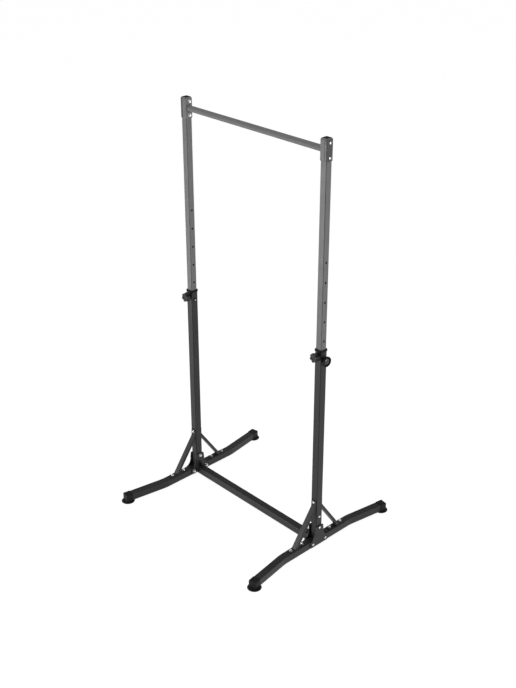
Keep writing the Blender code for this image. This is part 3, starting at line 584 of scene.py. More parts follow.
# %% Measure the legs
LEG_LOW, LEG_HIGH = 0.006, 0.046
LEG_CENTRE = 0.026
LEG_HALF = 0.020
BEND_AT = 0.243
BEND_ANGLE = math.radians(9.1)
BEND_RADIUS = 0.25
BEND_STEPS = 10
END_RUN, FOOT_RUN = 0.246, 0.231
LEG_BOLT_HEIGHT = 0.030
LEG_BOLT_Y = 0.045
FOOT_BOLTS = {"near": 0.104, "far": 0.184}
STUD_HOLE = 0.0065
STUD_DRILL = Vector((0, 0, 0.02))
UNDER_LEG, IN_LEG, OVER_LEG = -0.01, 0.03, 0.06

along_end = Vector((math.sin(BEND_ANGLE), math.cos(BEND_ANGLE), 0))
bend_point = Vector((POST_X, BEND_AT, 0))
tangent = BEND_RADIUS * math.tan(BEND_ANGLE / 2)
straight = BEND_AT - tangent
foot_spot = bend_point + along_end * FOOT_RUN
print("straight half", round(straight, 4), "foot at", tuple(round(c, 5) for c in foot_spot))


# %% Model the legs
def upright(y, bottom, top):
    """The line of an upright hole over the middle of the right leg."""
    return (POST_X, y, bottom), (POST_X, y, top)


leg = open_tube("leg", (POST_X - LEG_HALF, -straight, LEG_LOW), (POST_X + LEG_HALF, straight, LEG_HIGH), 1)
for end in ENDS.values():
    choose(leg, "EDGE", on_plane(1, end * straight))
    pivot = (POST_X + BEND_RADIUS, end * straight, 0)
    bpy.ops.mesh.spin(steps=BEND_STEPS, angle=end * BEND_ANGLE, center=pivot, axis=(0, 0, 1))
    run = along_end * (END_RUN - tangent)
    raise_faces((run.x, end * run.y, 0))
face_outwards(leg)
thicken(leg, TUBE_WALL)
studs = [Vector((foot_spot.x, end * foot_spot.y, 0)) for end in ENDS.values()]
drill(leg, STUD_HOLE, *[(spot, spot + STUD_DRILL) for spot in studs])
plate_holes = [across(LEG_BOLT_HEIGHT, y=end * LEG_BOLT_Y) for end in ENDS.values()]
foot_holes = [upright(end * y, UNDER_LEG, OVER_LEG) for end in ENDS.values() for y in FOOT_BOLTS.values()]
drill(leg, BOLT_HOLE, *plate_holes, *foot_holes)
soften(leg, BURR)
for side, piece in both_sides(leg, "leg_tube").items():
    hand_over(piece, BLACK_COAT, "base", f"leg_{side}")

# %% [markdown]
# ## Leg caps
#
# A cap slips over each leg's end. It is a shallow moulded box, so it is modelled square on at the origin
# as an open shell, rounded at its closed end, given its wall, and then turned and moved to the bent leg.
# Its faces are easier to pick while they still look along X, Y and Z.

# %% Model the leg caps
CAP_HALF = 0.022
CAP_WALL = 0.0017
CAP_LENGTH = 0.036
CAP_FACE = 0.0033
CAP_CORNER, CAP_FACE_ROUND = 0.0045, 0.0025

cap_low = (-CAP_HALF, -CAP_LENGTH, LEG_CENTRE - CAP_HALF)
cap = block("leg_cap", cap_low, (CAP_HALF, CAP_FACE, LEG_CENTRE + CAP_HALF))
round_edges(cap, lambda e: runs(e, 1), CAP_CORNER, CORNER_STEPS)
choose(cap, "FACE", lambda f: f.normal.y < -0.9)
bpy.ops.mesh.delete(type="FACE")
round_edges(cap, on_plane(1, CAP_FACE), CAP_FACE_ROUND, 4)
thicken(cap, CAP_WALL)
cap.location = bend_point + along_end * END_RUN
cap.rotation_euler = (0, 0, -BEND_ANGLE)
take(cap)
freeze()
drill(cap, STUD_HOLE, (foot_spot, foot_spot + STUD_DRILL))
soften(cap, BURR)
for corner, piece in four_corners(cap, "leg_end_cap").items():
    hand_over(piece, SHELL, "base", f"leg_cap_{corner}")

# %% [markdown]
# ## Feet
#
# Each foot is a moulded rubber disc with a stud pressed up into the leg. The disc is a short cylinder
# whose base is narrowed and whose top is drawn up and in. The stud rises from the middle, and the
# underside has ring grooves to grip the floor. Insets make all of it out of the two end faces, so the
# foot stays one closed skin with no cuts.

# %% Model the feet
FOOT_RIM, FOOT_SHOULDER, FOOT_BASE = 0.0365, 0.034, 0.033
FOOT_RIM_HEIGHT = 0.0015
FOOT_TOP = 0.0037
FOOT_SLOPE, STUD_LAND = 0.0245, 0.0035
STUD_TOP = 0.016
LANDS = (0.003, 0.0065, 0.0065)
GROOVE_WALL, GROOVE_WIDTH, GROOVE_DEPTH = 0.0005, 0.0012, 0.0008
FOOT_EDGE = 0.0004

foot = rod("foot", FOOT_RIM, (0, 0, 0), (0, 0, FOOT_RIM_HEIGHT), FINE_FACETS)
choose(foot, "FACE", lambda f: f.normal.z > 0.9)
raise_faces((0, 0, FOOT_TOP - FOOT_RIM_HEIGHT), FOOT_SHOULDER / FOOT_RIM)
bpy.ops.mesh.inset(thickness=FOOT_SLOPE, depth=0)
bpy.ops.mesh.inset(thickness=STUD_LAND, depth=0)
raise_faces((0, 0, STUD_TOP - FOOT_TOP))
choose(foot, "FACE", lambda f: f.normal.z < -0.9)
narrower = FOOT_BASE / FOOT_RIM
bpy.ops.transform.resize(value=(narrower, narrower, 1), center_override=(0, 0, 0))
for land in LANDS:
    bpy.ops.mesh.inset(thickness=land, depth=0)
    bpy.ops.mesh.inset(thickness=GROOVE_WALL, depth=-GROOVE_DEPTH)
    bpy.ops.mesh.inset(thickness=GROOVE_WIDTH, depth=0)
    bpy.ops.mesh.inset(thickness=GROOVE_WALL, depth=GROOVE_DEPTH)
soften(foot, FOOT_EDGE, angle=20)
foot.location = foot_spot
take(foot)
freeze()
for corner, piece in four_corners(foot, "floor_foot").items():
    hand_over(piece, RUBBER, "base", f"foot_pad_{corner}")

# %% [markdown]
# ## Base plates
#
# Two plates clamp each post to its leg. Each is cut from 4 mm sheet: narrow at the top, and spreading in
# a curve to the leg. The curve is a quarter of an ellipse, so it is cut with a stretched cylinder, and
# a block with one leaning side trims the neck above it. The outline could be typed in point by point,
# but then nobody could read the curve's size from it.

# %% Cut a base plate
PLATE_THICK = 0.004
PLATE_IN, PLATE_OUT = 0.0203, 0.0243
PLATE_LOW, PLATE_TOP = 0.010, 0.126
PLATE_HALF = 0.063
NECK_HALF = 0.031
NECK_TOP_HALF = 0.028
NECK_HEIGHT = 0.092
SHOULDER_HEIGHT = 0.044
FOOT_ROUND, SHOULDER_ROUND, NECK_ROUND = 0.008, 0.0015, 0.007
PLATE_EDGE = 0.0005
BEFORE, BEHIND, BEYOND = 0.01, 0.02, 0.08
NEAR = 0.0005


def plate_corner(y, z):
    """A test for the edges through the plate's thickness at a corner."""
    return lambda e: runs(e, 0) and abs(abs(middle(e).y) - y) < NEAR and abs(middle(e).z - z) < NEAR


def base_plate(name, x):
    """A base plate with its inner face at an X. Each tool reaches past both faces of the sheet."""
    plate = block(name, (x, -PLATE_HALF, PLATE_LOW), (x + PLATE_THICK, PLATE_HALF, PLATE_TOP))
    spread_y = PLATE_HALF - NECK_HALF
    lean = (NECK_HALF - NECK_TOP_HALF) * (PLATE_TOP + BEFORE - NECK_HEIGHT) / (PLATE_TOP - NECK_HEIGHT)
    for end in ENDS.values():
        centre = Vector((x, end * PLATE_HALF, NECK_HEIGHT))
        flare_ends = centre - Vector((BEFORE, 0, 0)), centre + Vector((BEHIND, 0, 0))
        flare = rod("flare", spread_y, *flare_ends, FINE_FACETS)
        choose(flare, "VERT", lambda v: True)
        taller = (NECK_HEIGHT - SHOULDER_HEIGHT) / spread_y
        bpy.ops.transform.resize(value=(1, 1, taller), center_override=centre)
        cut(plate, flare)
        inner, outer = sorted((end * NECK_HALF, end * BEYOND))
        trim = block("trim", (x - BEFORE, inner, NECK_HEIGHT), (x + BEHIND, outer, PLATE_TOP + BEFORE))
        choose(trim, "VERT", lambda v: v.co.z > PLATE_TOP and abs(v.co.y) < PLATE_HALF)
        bpy.ops.transform.translate(value=(0, -end * lean, 0))
        cut(plate, trim)
    round_edges(plate, plate_corner(PLATE_HALF, PLATE_LOW), FOOT_ROUND, 8)
    round_edges(plate, plate_corner(PLATE_HALF, SHOULDER_HEIGHT), SHOULDER_ROUND, 3)
    round_edges(plate, plate_corner(NECK_TOP_HALF, PLATE_TOP), NECK_ROUND, 8)
    leg_holes = [across(LEG_BOLT_HEIGHT, x, end * LEG_BOLT_Y) for end in ENDS.values()]
    drill(plate, BOLT_HOLE, across(POST_BOLT_HEIGHT, x), *leg_holes)
    soften(plate, PLATE_EDGE, 3)
    return plate


# %% Model the outer base plates
plate = base_plate("outer_plate", POST_X + PLATE_IN)
for side, piece in both_sides(plate, "outer_flange").items():
    hand_over(piece, BLACK_COAT, "base", f"outer_plate_{side}")


# %% [markdown]
# ## Weld beads
#
# The beam, the ribs, the braces and the bar are welded, and a weld shows as a rippled bead in the
# corner. A bump in the paint could suggest it, but it has a thickness of its own. A curve follows the
# joint, its thickness swells at every ripple, and it is turned into a mesh.

# %% Lay out the path of a weld
RIPPLE = 0.0018


def rounded_loop(corners, radius, steps=4):
    """A closed path through four corners, with each corner rounded off."""
    points = []
    for i, corner in enumerate(corners):
        corner = Vector(corner)
        before = (Vector(corners[i - 1]) - corner).normalized() * radius
        after = (Vector(corners[(i + 1) % len(corners)]) - corner).normalized() * radius
        for k in range(steps + 1):
            turn = math.radians(90 * k / steps)
            points.append(corner + before * (1 - math.sin(turn)) + after * (1 - math.cos(turn)))
    return points


def ring_of_points(centre, first, second):
    """A closed round path. The two arms are vectors of the ring's radius, at a right angle."""
    turns = [math.radians(10 * i) for i in range(36)]
    return [Vector(centre) + Vector(first) * math.cos(t) + Vector(second) * math.sin(t) for t in turns]


def evenly(points, closed):
    """Points at an even step along a path, two for each ripple."""
    ends = points + [points[0]] if closed else points
    lengths = [(b - a).length for a, b in zip(ends, ends[1:])]
    count = max(4, 2 * round(sum(lengths) / RIPPLE))
    found = []
    for k in range(count if closed else count + 1):
        left = sum(lengths) * k / count
        for a, b, length in zip(ends, ends[1:], lengths):
            if left <= length + 1e-9:
                break
            left -= length
        found.append(a.lerp(b, left / max(length, 1e-9)))
    return found


# %% Make a weld bead
BEAD, RIB_BEAD, BRACE_BEAD, BAR_BEAD, NUT_BEAD = 0.0020, 0.0016, 0.0017, 0.0022, 0.0013
TROUGH = 0.85


def bead(points, closed=False, thickness=BEAD):
    path = evenly([Vector(p) for p in points], closed)
    line = bpy.data.curves.new("bead", "CURVE")
    line.dimensions = "3D"
    line.bevel_depth = thickness
    line.bevel_resolution = 2
    line.use_fill_caps = True
    spline = line.splines.new("POLY")
    spline.points.add(len(path) - 1)
    spline.use_cyclic_u = closed
    for k, (point, spot) in enumerate(zip(spline.points, path)):
        point.co = (*spot, 1)
        point.radius = 1.0 if k % 2 else TROUGH
    piece = bpy.data.objects.new("bead", line)
    bpy.context.scene.collection.objects.link(piece)
    take(piece)
    bpy.ops.object.convert(target="MESH")
    piece = bpy.context.object
    face_outwards(piece)
    return piece


# %% [markdown]
# ## Cross beam
#
# The beam is a square tube between the two inner base plates. A triangular rib stands on it at each end,
# cut from a block with a slanting bisect, and beads run over the tube and along both sides of the rib.

# %% Model the cross beam
RIB_LENGTH = 0.042
RIB_HEIGHT = 0.036
RIB_HALF = 0.002
RIB_NOSE = 0.001
SHEET_EDGE = 0.0004
beam_end = POST_X - PLATE_OUT

plate = base_plate("inner_plate", beam_end)
for side, piece in both_sides(plate, "inner_flange").items():
    hand_over(piece, BLACK_COAT, "base", "cross_beam")
beam = open_tube("beam_tube", (-beam_end, -LEG_HALF, LEG_LOW), (beam_end, LEG_HALF, LEG_HIGH), 0)
thicken(beam, TUBE_WALL)
hand_over(beam, BLACK_COAT, "base", "cross_beam")

# %% Model the ribs
rib = block("rib", (beam_end - RIB_LENGTH, -RIB_HALF, LEG_HIGH), (beam_end, RIB_HALF, LEG_HIGH + RIB_HEIGHT))
slant = (RIB_NOSE - RIB_HEIGHT, 0, RIB_LENGTH)
slice_off(rib, (beam_end - RIB_LENGTH, 0, LEG_HIGH + RIB_NOSE), slant)
soften(rib, SHEET_EDGE, 3)
for side, piece in both_sides(rib, "rib_plate").items():
    hand_over(piece, BLACK_COAT, "base", "cross_beam")

# %% Weld the beam and the ribs
CORNER_GAP, NOSE_GAP, ARCH_LIFT = 0.001, 0.003, 0.002

around = ((-LEG_HALF, LEG_LOW), (LEG_HALF, LEG_LOW), (LEG_HALF, LEG_HIGH), (-LEG_HALF, LEG_HIGH))
rim = [(beam_end, y, z) for y, z in around]
arch = [point for point in rounded_loop(rim, TUBE_CORNER) if point.z > LEG_CENTRE]
feet_of_arch = [Vector((beam_end, y, PLATE_LOW + ARCH_LIFT)) for y in (LEG_HALF, -LEG_HALF)]
weld = bead([feet_of_arch[0], *arch, feet_of_arch[1]])
for y in (-RIB_HALF, RIB_HALF):
    along = [(beam_end - RIB_LENGTH + NOSE_GAP, y, LEG_HIGH), (beam_end - CORNER_GAP, y, LEG_HIGH)]
    upwards = [(beam_end, y, LEG_HIGH + CORNER_GAP), (beam_end, y, LEG_HIGH + RIB_HEIGHT - NOSE_GAP)]
    weld = join(weld, bead(along, thickness=RIB_BEAD), bead(upwards, thickness=RIB_BEAD))
for side, piece in both_sides(weld, "beam_weld").items():
    hand_over(piece, BLACK_COAT, "base", "cross_beam")

# %% [markdown]
# ## Braces
#
# A brace is a 30 by 15 mm tube at 55 degrees. A long block with rounded edges is laid on that slope, and
# two bisects cut it flush to the tab on the post and to the plate on the leg, as a saw would cut the
# tube. The tab and the plate are small blocks with rounded corners and bolt holes.

# %% Model the braces
BRACE_HALF_WIDTH = 0.015
BRACE_HALF_DEPTH = 0.0075
BRACE_CORNER = 0.0025
BRACE_TOP = Vector((POST_X, 0.0203, 0.240))
BRACE_FOOT = Vector((POST_X, 0.154, 0.0493))
PLATE_HALF_WIDTH = 0.016
TAB_BACK, TAB_FACE = 0.0203, 0.0233
TAB_LOW, TAB_HIGH = 0.222, 0.284
FOOT_PLATE_NEAR, FOOT_PLATE_FAR = 0.092, 0.196
FOOT_PLATE_LOW, FOOT_PLATE_HIGH = 0.0463, 0.0493
SUNK = 0.0005
SAWN_OFF = 0.03

slope = BRACE_FOOT - BRACE_TOP
half_length = slope.length / 2 + SAWN_OFF
brace_corner = Vector((BRACE_HALF_WIDTH, half_length, BRACE_HALF_DEPTH))
brace = block("brace", -brace_corner, brace_corner)
round_edges(brace, lambda e: runs(e, 1), BRACE_CORNER, 5)
brace.location = (BRACE_FOOT + BRACE_TOP) / 2
brace.rotation_euler = Vector((0, 1, 0)).rotation_difference(slope).to_euler()
take(brace)
freeze()
slice_off(brace, (0, TAB_FACE - SUNK, 0), (0, -1, 0))
slice_off(brace, (0, 0, FOOT_PLATE_HIGH - SUNK), (0, 0, -1))
steepness = math.degrees(math.atan2(-slope.z, slope.y))
print("brace:", round(slope.length, 4), "m at", round(steepness, 1), "degrees")

# %% Model the tab and the foot plate
TAB_CORNER, FOOT_PLATE_CORNER = 0.004, 0.003

left_edge, right_edge = POST_X - PLATE_HALF_WIDTH, POST_X + PLATE_HALF_WIDTH
tab = block("tab", (left_edge, TAB_BACK, TAB_LOW), (right_edge, TAB_FACE, TAB_HIGH))
round_edges(tab, lambda e: runs(e, 1), TAB_CORNER, 5)
drill(tab, BOLT_HOLE, ((POST_X, 0, BRACE_BOLT_HEIGHT), (POST_X, REACH, BRACE_BOLT_HEIGHT)))
soften(tab, SHEET_EDGE, 3)
plate = block(
    "foot_plate", (left_edge, FOOT_PLATE_NEAR, FOOT_PLATE_LOW), (right_edge, FOOT_PLATE_FAR, FOOT_PLATE_HIGH)
)
round_edges(plate, lambda e: runs(e, 2), FOOT_PLATE_CORNER, 5)
drill(plate, BOLT_HOLE, *[upright(y, IN_LEG, OVER_LEG) for y in FOOT_BOLTS.values()])
soften(plate, SHEET_EDGE, 3)
print("tab and foot plate:", len(tab.data.polygons), "and", len(plate.data.polygons), "faces")

# %% Weld the braces
WELD_CORNER = 0.003

half_x = BRACE_HALF_WIDTH
tall = BRACE_HALF_DEPTH * slope.length / abs(slope.y)
deep = BRACE_HALF_DEPTH * slope.length / abs(slope.z)
tab_z = BRACE_TOP.z + (TAB_FACE - BRACE_TOP.y) * slope.z / slope.y
corners = ((-1, -1), (1, -1), (1, 1), (-1, 1))
tab_rim = [(POST_X + a * half_x, TAB_FACE, tab_z + b * tall) for a, b in corners]
foot_rim = [(POST_X + a * half_x, BRACE_FOOT.y + b * deep, FOOT_PLATE_HIGH) for a, b in corners]
tab_weld = bead(rounded_loop(tab_rim, WELD_CORNER), True, BRACE_BEAD)
foot_weld = bead(rounded_loop(foot_rim, WELD_CORNER), True, BRACE_BEAD)
brace = join(brace, tab, plate, tab_weld, foot_weld)
for corner, piece in four_corners(brace, "brace_frame").items():
    hand_over(piece, BLACK_COAT, "base", f"brace_{corner}")

# %% [markdown]
# ## Brackets at the bar
#
# Two channels wrap the upper post's top, and bolts pull them together. A channel is bent from 2.5 mm
# sheet. A cube with two rounded edges loses three faces, Solidify gives the sheet its wall, and a rounded
# block then trims its corners all at once, which is shorter than picking each of the corners.

# %% Bend a channel
BRACKET_LOW, BRACKET_HIGH = 2.061, 2.161
BRACKET_FACE = 0.0203
BRACKET_WALL = 0.0025
BRACKET_CORNER = 0.004
JUST_OVER_WALL, OVERHANG = 0.003, 0.01


def channel(name, web_x, tip_x, bend):
    """A channel with its web at one X and its open side at another."""
    low_x, high_x = sorted((web_x, tip_x))
    sheet = block(name, (low_x, -BRACKET_FACE, BRACKET_LOW), (high_x, BRACKET_FACE, BRACKET_HIGH))
    round_edges(sheet, lambda e: runs(e, 2) and abs(middle(e).x - web_x) < CLOSE, bend, 6)
    choose(sheet, "FACE", lambda f: abs(f.normal.z) > 0.9 or abs(f.calc_center_median().x - tip_x) < CLOSE)
    bpy.ops.mesh.delete(type="FACE")
    put_down()
    thicken(sheet, BRACKET_WALL)

    def at_tip(edge):
        return runs(edge, 1) and edge.calc_length() < JUST_OVER_WALL and abs(middle(edge).x - tip_x) < CLOSE

    round_edges(sheet, at_tip, BRACKET_CORNER, 5)
    envelope_low = (low_x - OVERHANG, -BRACKET_FACE, BRACKET_LOW)
    envelope = block("envelope", envelope_low, (high_x + OVERHANG, BRACKET_FACE, BRACKET_HIGH))
    round_edges(envelope, lambda e: runs(e, 0), BRACKET_CORNER, 6)
    cut(sheet, envelope, "INTERSECT")
    drill(sheet, BOLT_HOLE, *[across(BAR_HEIGHT + level * BAR_BOLT_OFFSET, web_x) for level in (-1, 1)])
    soften(sheet, SHEET_EDGE, 3)
    return sheet


# %% Model the outer brackets
OUTER_TIP, INNER_TIP = 0.0090, 0.0070
OUTER_BEND, INNER_BEND = 0.0042, 0.003

# The outer channels are darker than the grey posts, partly by a darker coat and partly by painted shade.
bracket = channel("outer_bracket", POST_X + BRACKET_FACE, POST_X + OUTER_TIP, OUTER_BEND)
for side, piece in both_sides(bracket, "outer_channel").items():
    hand_over(piece, DARK_COAT_AND_SHADE, "upper_frame", f"outer_bracket_{side}")

# %% [markdown]
# ## The bar
#
# The bar is a 30 mm round tube, straight from one inner channel to the other. Its end faces are inset
# and pushed in to make the bore, and a bead runs round each end where it meets the channel.

# %% Model the bar
BAR_RADIUS = 0.015
BAR_WALL = 0.0025
BORE_DEPTH, BORE_TAPER = 0.03, 0.0002
web = POST_X - BRACKET_FACE

bracket = channel("inner_bracket", web, POST_X + INNER_TIP, INNER_BEND)
for side, piece in both_sides(bracket, "inner_channel").items():
    hand_over(piece, GREY_COAT, "upper_frame", "pull_up_bar")
bar = rod("bar_tube", BAR_RADIUS, (-web, 0, BAR_HEIGHT), (web, 0, BAR_HEIGHT), FINE_FACETS)
choose(bar, "FACE", lambda f: abs(f.normal.x) > 0.9)
bpy.ops.mesh.inset(thickness=BAR_WALL, depth=0)
bpy.ops.mesh.inset(thickness=BORE_TAPER, depth=-BORE_DEPTH)
soften(bar, BURR)
hand_over(bar, GREY_COAT, "upper_frame", "pull_up_bar")
bar_rim = ring_of_points((web, 0, BAR_HEIGHT), (0, BAR_RADIUS, 0), (0, 0, BAR_RADIUS))
for side, piece in both_sides(bead(bar_rim, True, BAR_BEAD), "bar_weld").items():
    hand_over(piece, GREY_COAT, "upper_frame", "pull_up_bar")

# %% [markdown]
# ## Bolts
#
# The bolts have an 8 mm shank, a low domed head with a hexagon socket, a washer and a nut. One is
# modelled for each length, along Z with its head below zero, and copied to its places. The head and the
# shank are one solid, drawn out step by step like a turned part. The end that shows past the nut has
# real thread crests. A thread all the way down would cost many faces that nobody sees.

# %% Model a bolt
BOLT_RADIUS = 0.004
HEAD_RADIUS, HEAD_HEIGHT, HEAD_ROUND = 0.0066, 0.004, 0.0031
SOCKET_ACROSS, SOCKET_DEPTH = 0.005, 0.0023
WASHER_RADIUS, WASHER_HEIGHT = 0.0085, 0.0016
NUT_ACROSS, NUT_HEIGHT = 0.013, 0.0065
NUT_TURNED, NUT_CHAMFER = 0.00752, 0.0010
PAST_NUT = 0.003
THREAD, THREAD_ROOT = 0.00125, 0.9
BORE_CLEARANCE = 0.00005
BOLT_EDGE = 0.00025


def bolt_head_and_shank(length):
    bolt = rod("bolt", HEAD_RADIUS, (0, 0, -HEAD_HEIGHT), (0, 0, 0))
    round_edges(bolt, at_level(-HEAD_HEIGHT), HEAD_ROUND, 6)
    choose(bolt, "FACE", lambda f: f.normal.z > 0.9)
    bpy.ops.mesh.inset(thickness=HEAD_RADIUS - BOLT_RADIUS, depth=0)
    raise_faces((0, 0, length - 3 * THREAD))
    for widen in (1 / THREAD_ROOT, 1 / THREAD_ROOT, 1.0):
        raise_faces((0, 0, THREAD / 2), THREAD_ROOT)
        raise_faces((0, 0, THREAD / 2), widen)
    socket_ends = (0, 0, -0.01), (0, 0, SOCKET_DEPTH - HEAD_HEIGHT)
    cut(bolt, rod("socket", SOCKET_ACROSS / math.sqrt(3), *socket_ends, HEXAGON))
    soften(bolt, BOLT_EDGE)
    return bolt


def washer_and_nut(grip):
    washer = rod("washer", WASHER_RADIUS, (0, 0, grip), (0, 0, grip + WASHER_HEIGHT))
    seat = grip + WASHER_HEIGHT
    nut = rod("nut", NUT_ACROSS / math.sqrt(3), (0, 0, seat), (0, 0, seat + NUT_HEIGHT), HEXAGON)
    turned = rod("turned", NUT_TURNED, (0, 0, seat), (0, 0, seat + NUT_HEIGHT))
    round_edges(turned, lambda e: not runs(e, 2), NUT_CHAMFER, 1)
    cut(nut, turned, "INTERSECT")
    bore = ((0, 0, grip - 0.01), (0, 0, grip + 0.02))
    for piece in (washer, nut):
        drill(piece, BOLT_RADIUS + BORE_CLEARANCE, bore)
        soften(piece, FINE_EDGE)
    return washer, nut


def bolt(name, grip):
    """A bolt with its washer and nut. The grip is the thickness between the head and the washer."""
    shank = bolt_head_and_shank(grip + WASHER_HEIGHT + NUT_HEIGHT + PAST_NUT)
    made = join(shank, *washer_and_nut(grip))
    made.name = name
    return made


# %% Set the base bolts
BASE_HEAD, BASE_GRIP = 0.0246, 0.0492

plate_bolt = bolt("plate_bolt", BASE_GRIP)
spots = {
    "post": (0, POST_BOLT_HEIGHT),
    "leg_front": (-LEG_BOLT_Y, LEG_BOLT_HEIGHT),
    "leg_back": (LEG_BOLT_Y, LEG_BOLT_HEIGHT),
}
for side, x in SIDES.items():
    for spot, (y, z) in spots.items():
        place = (x * (POST_X + BASE_HEAD), y, z)
        piece = placed(plate_bolt, f"plate_bolt_{spot}_{side}", place, (-x, 0, 0))
        hand_over(piece, ZINC, "base", f"base_bolt_{spot}_{side}")
bpy.data.objects.remove(plate_bolt)

# %% Set the bar bolts
BAR_HEAD, BAR_GRIP = 0.0206, 0.0412

bracket_bolt = bolt("bracket_bolt", BAR_GRIP)
for side, x in SIDES.items():
    for level_name, level in (("lower", -1), ("upper", 1)):
        place = (x * (POST_X + BAR_HEAD), 0, BAR_HEIGHT + level * BAR_BOLT_OFFSET)
        piece = placed(bracket_bolt, f"bracket_bolt_{level_name}_{side}", place, (-x, 0, 0))
        hand_over(piece, ZINC, "upper_frame", f"bar_bolt_{level_name}_{side}")
bpy.data.objects.remove(bracket_bolt)

# %% Set the brace bolts
TAB_HEAD, TAB_GRIP = 0.0236, 0.0472
LEG_HEAD_GAP, LEG_GRIP = 0.0003, 0.0439

tab_bolt = bolt("tab_bolt", TAB_GRIP)
leg_bolt = bolt("leg_bolt", LEG_GRIP)
for side, x in SIDES.items():
    piece = placed(tab_bolt, f"tab_bolt_{side}", (x * POST_X, -TAB_HEAD, BRACE_BOLT_HEIGHT), (0, 1, 0))
    hand_over(piece, ZINC, "base", f"brace_bolt_{side}")
    for end, y in ENDS.items():
        for spot, reach in FOOT_BOLTS.items():
            place = (x * POST_X, y * reach, LEG_LOW - LEG_HEAD_GAP)
            piece = placed(leg_bolt, f"leg_bolt_{side}_{end}_{spot}", place, (0, 0, 1))
            hand_over(piece, ZINC, "base", f"brace_foot_bolt_{side}_{end}_{spot}")
for master in (tab_bolt, leg_bolt):
    bpy.data.objects.remove(master)

# %% [markdown]
# A short screw in the outer face of each lower post has the same head. It is threaded into the wall, so
# it has no washer and no nut.

# %% Set the stop screws
SCREW_HEAD, SCREW_LENGTH = 0.0203, 0.0063

screw = bolt_head_and_shank(SCREW_LENGTH)
for side, x in SIDES.items():
    piece = placed(screw, f"post_screw_{side}", (x * (POST_X + SCREW_HEAD), 0, STOP_SCREW_HEIGHT), (-x, 0, 0))
    hand_over(piece, ZINC, "base", f"stop_screw_{side}")
bpy.data.objects.remove(screw)

# %% [markdown]
# ## Locking pins
#
# A steel pin goes right through both posts, and its turned-down end shows in a black ring on the far
# side. Its knob is a thick moulded disc on a short neck, with a satin dome inside its rim. Both are
# drawn along Z with the post's outer face at zero, and turned to their sides at the end.

# %% Model the locking pins
POST_WIDTH = LEG_HALF * 2
PIN_RADIUS = 0.005
PIN_TIP = -0.046
PIN_STEP, PIN_CHAMFER, PIN_ROUND = 0.0007, 0.0009, 0.0012
PIN_NECK, NECK_END = 0.010, 0.011
KNOB_GAP = 0.0003
KNOB_RADIUS, KNOB_FACE = 0.026, 0.025
KNOB_DRAFT, KNOB_EDGE = 0.97, 0.0010
BACK_NARROWER, BACK_FLAT, BACK_CONE = 0.0025, 0.0008, 0.0047
RIM, RIM_TAPER = 0.0045, 0.0003
POCKET = 0.0066

pin = rod("pin", PIN_RADIUS, (0, 0, -POST_WIDTH), (0, 0, NECK_END))
choose(pin, "FACE", lambda f: f.normal.z < -0.9)
bpy.ops.mesh.inset(thickness=PIN_STEP, depth=PIN_CHAMFER)
raise_faces((0, 0, PIN_TIP + POST_WIDTH + PIN_CHAMFER))
round_edges(pin, at_level(PIN_TIP), PIN_ROUND, 3)
knob = rod("knob", PIN_NECK, (0, 0, KNOB_GAP), (0, 0, NECK_END), FINE_FACETS)
choose(knob, "FACE", lambda f: f.normal.z > 0.9)
back_radius = KNOB_RADIUS - BACK_NARROWER
raise_faces((0, 0, BACK_FLAT), back_radius / PIN_NECK)
raise_faces((0, 0, BACK_CONE), KNOB_RADIUS / back_radius)
raise_faces((0, 0, KNOB_FACE - NECK_END - BACK_FLAT - BACK_CONE), KNOB_DRAFT)
bpy.ops.mesh.inset(thickness=RIM, depth=0)
bpy.ops.mesh.inset(thickness=RIM_TAPER, depth=-POCKET)
soften(knob, KNOB_EDGE, 4, angle=25)
print("pin and knob:", len(pin.data.polygons), "and", len(knob.data.polygons), "faces")

# %% [markdown]
# The dome is made ring by ring: each inset draws the face in along the radius and lifts it up the curve
# of a large ball. The ball could be cut with a plane, but nearly all of it would be thrown away.

# %% Raise the dome
DOME_RINGS = 12
DOME_SIDE = 0.0006
DOME_GAP, DOME_BELOW_RIM = 0.0005, 0.0002
dome_radius = KNOB_RADIUS * KNOB_DRAFT - RIM - DOME_GAP
dome_foot = KNOB_FACE - POCKET
dome_rise = POCKET - DOME_SIDE - DOME_BELOW_RIM
curve = (dome_radius ** 2 + dome_rise ** 2) / (2 * dome_rise)
edge_tilt = math.asin(dome_radius / curve)

dome = rod("dome", dome_radius, (0, 0, dome_foot), (0, 0, dome_foot + DOME_SIDE), FINE_FACETS)
choose(dome, "FACE", lambda f: f.normal.z > 0.9)
for ring in range(DOME_RINGS):
    tilt, next_tilt = [edge_tilt * (1 - (ring + i) / (DOME_RINGS + 1)) for i in (0, 1)]
    inwards = curve * (math.sin(tilt) - math.sin(next_tilt))
    upwards = curve * (math.cos(next_tilt) - math.cos(tilt))
    bpy.ops.mesh.inset(thickness=inwards, depth=upwards)
print("dome curve", round(curve, 4), "rise", round(dome_rise, 4))

# %% Turn the ring for the pin's end, and place them all
RING_RADIUS, RING_EDGE = 0.0092, 0.0005
RING_BACK, RING_FACE = -POST_WIDTH - 0.0003, -POST_WIDTH - 0.0022

ring = rod("ring", RING_RADIUS, (0, 0, RING_FACE), (0, 0, RING_BACK))
drill(ring, PIN_HOLE, ((0, 0, -0.05), (0, 0, -0.03)))
soften(ring, RING_EDGE, 3)
for side, x in SIDES.items():
    place = (x * (POST_X + LEG_HALF), 0, PIN_HEIGHT)
    body = f"locking_pin_{side}"
    hand_over(placed(pin, f"pin_rod_{side}", place, (x, 0, 0)), STEEL, body, body)
    hand_over(placed(knob, f"pin_knob_{side}", place, (x, 0, 0)), PLASTIC, body, body)
    hand_over(placed(dome, f"pin_dome_{side}", place, (x, 0, 0)), SATIN, body, body)
    hand_over(placed(ring, f"pin_ring_{side}", place, (x, 0, 0)), PLASTIC, "base", f"lower_post_{side}")
for master in (pin, knob, dome, ring):
    bpy.data.objects.remove(master)

